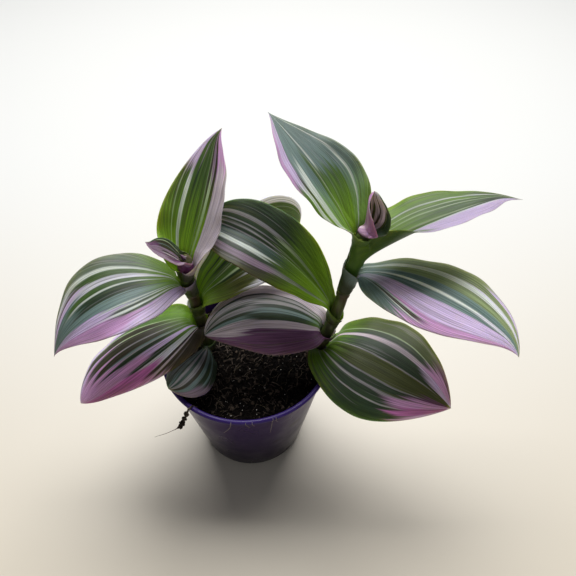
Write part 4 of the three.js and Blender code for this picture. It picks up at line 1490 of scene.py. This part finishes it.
# %% Hang the roots
ROOT_HAIRS = [(-97, 12, -5), (-88, 5, 1.5), (-84, 4, 1), (-71, 14, -0.6), (-69, 5, 1.2)]
STRAY_ROOT = [(-15.6, -22, 46.5), (-16.6, -23.8, 50.4), (-17.6, -25.2, 50.6),
              (-18.5, -26, 48.5), (-19.3, -26.9, 46.8), (-20.3, -28.2, 45.2),
              (-22.4, -28.8, 44), (-25.2, -29.6, 43), (-29, -30.6, 42.4)]
STRAY_RADII = [0.3, 0.3, 0.35, 0.45, 0.4, 0.3, 0.1, 0.08, 0.05]
CLUMPS = [((-18.4, -25.9, 48.9), 0.8), ((-19.2, -26.6, 47.3), 0.7), ((-19.9, -27.6, 45.9), 1.0),
          ((-20.5, -28.3, 45.1), 0.8)]


def root_hair(angle, drop, drift):
    """A hair from the lip down the wall, by its angle round the pot in degrees,
    its drop below the lip and its drift to the side."""
    turn = math.radians(angle)
    outward, side = (math.cos(turn), math.sin(turn)), (-math.sin(turn), math.cos(turn))
    places = [(POT_RIM_RADIUS - 0.3, POT_HEIGHT + 0.05), (POT_RIM_RADIUS + 0.15, 49.2)]
    places += [(wall_radius(POT_HEIGHT - d) + 0.5, POT_HEIGHT - d)
               for d in np.linspace(2.6, drop, 6)]
    shifts = [drift * (i / len(places)) ** 2 for i in range(len(places))]
    line = [(r * outward[0] + a * side[0], r * outward[1] + a * side[1], h)
            for (r, h), a in zip(places, shifts)]
    return line, np.linspace(0.08, 0.05, len(line))


def clump_mesh():
    """Rough balls of soil along the stray root."""
    points, faces = [], []
    for number, (place, size) in enumerate(CLUMPS):
        ring = [(size * math.sin(a), -size * math.cos(a)) for a in np.linspace(0, math.pi, 11)]
        ball, sides = lathe([(0.0, -size)] + ring[1:-1] + [(0.0, size)], 16)
        for x, y, z in ball:
            swell = 1 + 0.7 * noise.fractal((x * 1.3, y * 1.3, z * 1.3 + number * 5), 1.0, 2.0, 3)
            points.append((place[0] + x * swell, place[1] + y * swell, place[2] + z * swell))
        first = len(points) - len(ball)
        faces += [tuple(first + i for i in side) for side in sides]
    return mesh_from("root_clump", points, faces)


ROOT_SKIN = thread_material("root_hair", ROOT_WHITE, 0.35)
add_threads("root_hairs", [root_hair(*hair) for hair in ROOT_HAIRS], ROOT_SKIN)
add_threads("stray_root", [(STRAY_ROOT, STRAY_RADII)], thread_material(
    "stray_root_skin", FIBRE_BROWN, 0.9))
add_piece("root_clump", clump_mesh()).data.materials.append(BARK)

# %% [markdown]
# ## Floor and light
#
# The plant stands on a pale floor whose colour is painted darker and warmer
# towards the front: painted shade for the light's falloff and the warm shadow
# in front of the pot. The light is a wide soft window behind and above it, so
# the leaves shine from above and the front of the pot lies in shade. A weak
# fill from the front keeps the shade readable.

# %% Floor and lights
FLOOR_FAR = colour("d2d2cf")
# Painted shade: the near floor's darker, warmer colour.
FLOOR_NEAR_SHADED = colour("cfc5b2")
FLOOR_HALF = 1500.0
FLOOR_SHADE_FADE = (-120.0, 200.0)
ROOM_TINT = (0.92, 0.96, 1.04, 1)
ROOM_STRENGTH = 0.14

floor_corners = [(x * FLOOR_HALF, y * FLOOR_HALF, 0)
                 for x, y in ((-1, -1), (1, -1), (1, 1), (-1, 1))]
floor = new_object("floor", mesh_from("floor", floor_corners, [(0, 1, 2, 3)]))


def floor_material():
    material, tree, shader = new_material("pale_floor", 0.55)
    place = object_place(tree)
    depth = add_node(tree, "ShaderNodeSeparateXYZ", {}, {0: place}).outputs[1]
    # The floor fades from the painted shade near the front to the far colour.
    away = fade_between(tree, depth, *(distance * MM for distance in FLOOR_SHADE_FADE))
    tree.links.new(mix_colours(tree, away, FLOOR_NEAR_SHADED, FLOOR_FAR), shader.inputs["Base Color"])
    return material


floor.data.materials.append(floor_material())


def add_light(name, place, target, size, power, tint):
    data = bpy.data.lights.new(name, "AREA")
    data.shape = "RECTANGLE"
    data.size, data.size_y = size[0] * MM, size[1] * MM
    data.energy = power
    data.color = tint
    light = new_object(name, data)
    light.location = [value * MM for value in place]
    aim = np.array(target) - np.array(place)
    level = math.hypot(aim[0], aim[1])
    light.rotation_euler = (math.atan2(level, -aim[2]), 0, math.atan2(-aim[0], aim[1]))
    print(name, "at", place)


PLANT_MIDDLE = (10, 0, 60)
add_light("window", (20, 400, 760), PLANT_MIDDLE, (860, 520), 12.0, (1.0, 1.0, 1.0))
add_light("fill", (200, -900, 500), PLANT_MIDDLE, (900, 600), 0.5, (1.0, 0.99, 0.98))

world = bpy.data.worlds.new("room")
world.use_nodes = True
background = world.node_tree.nodes["Background"]
background.inputs[0].default_value = ROOM_TINT
background.inputs[1].default_value = ROOM_STRENGTH
bpy.context.scene.world = world
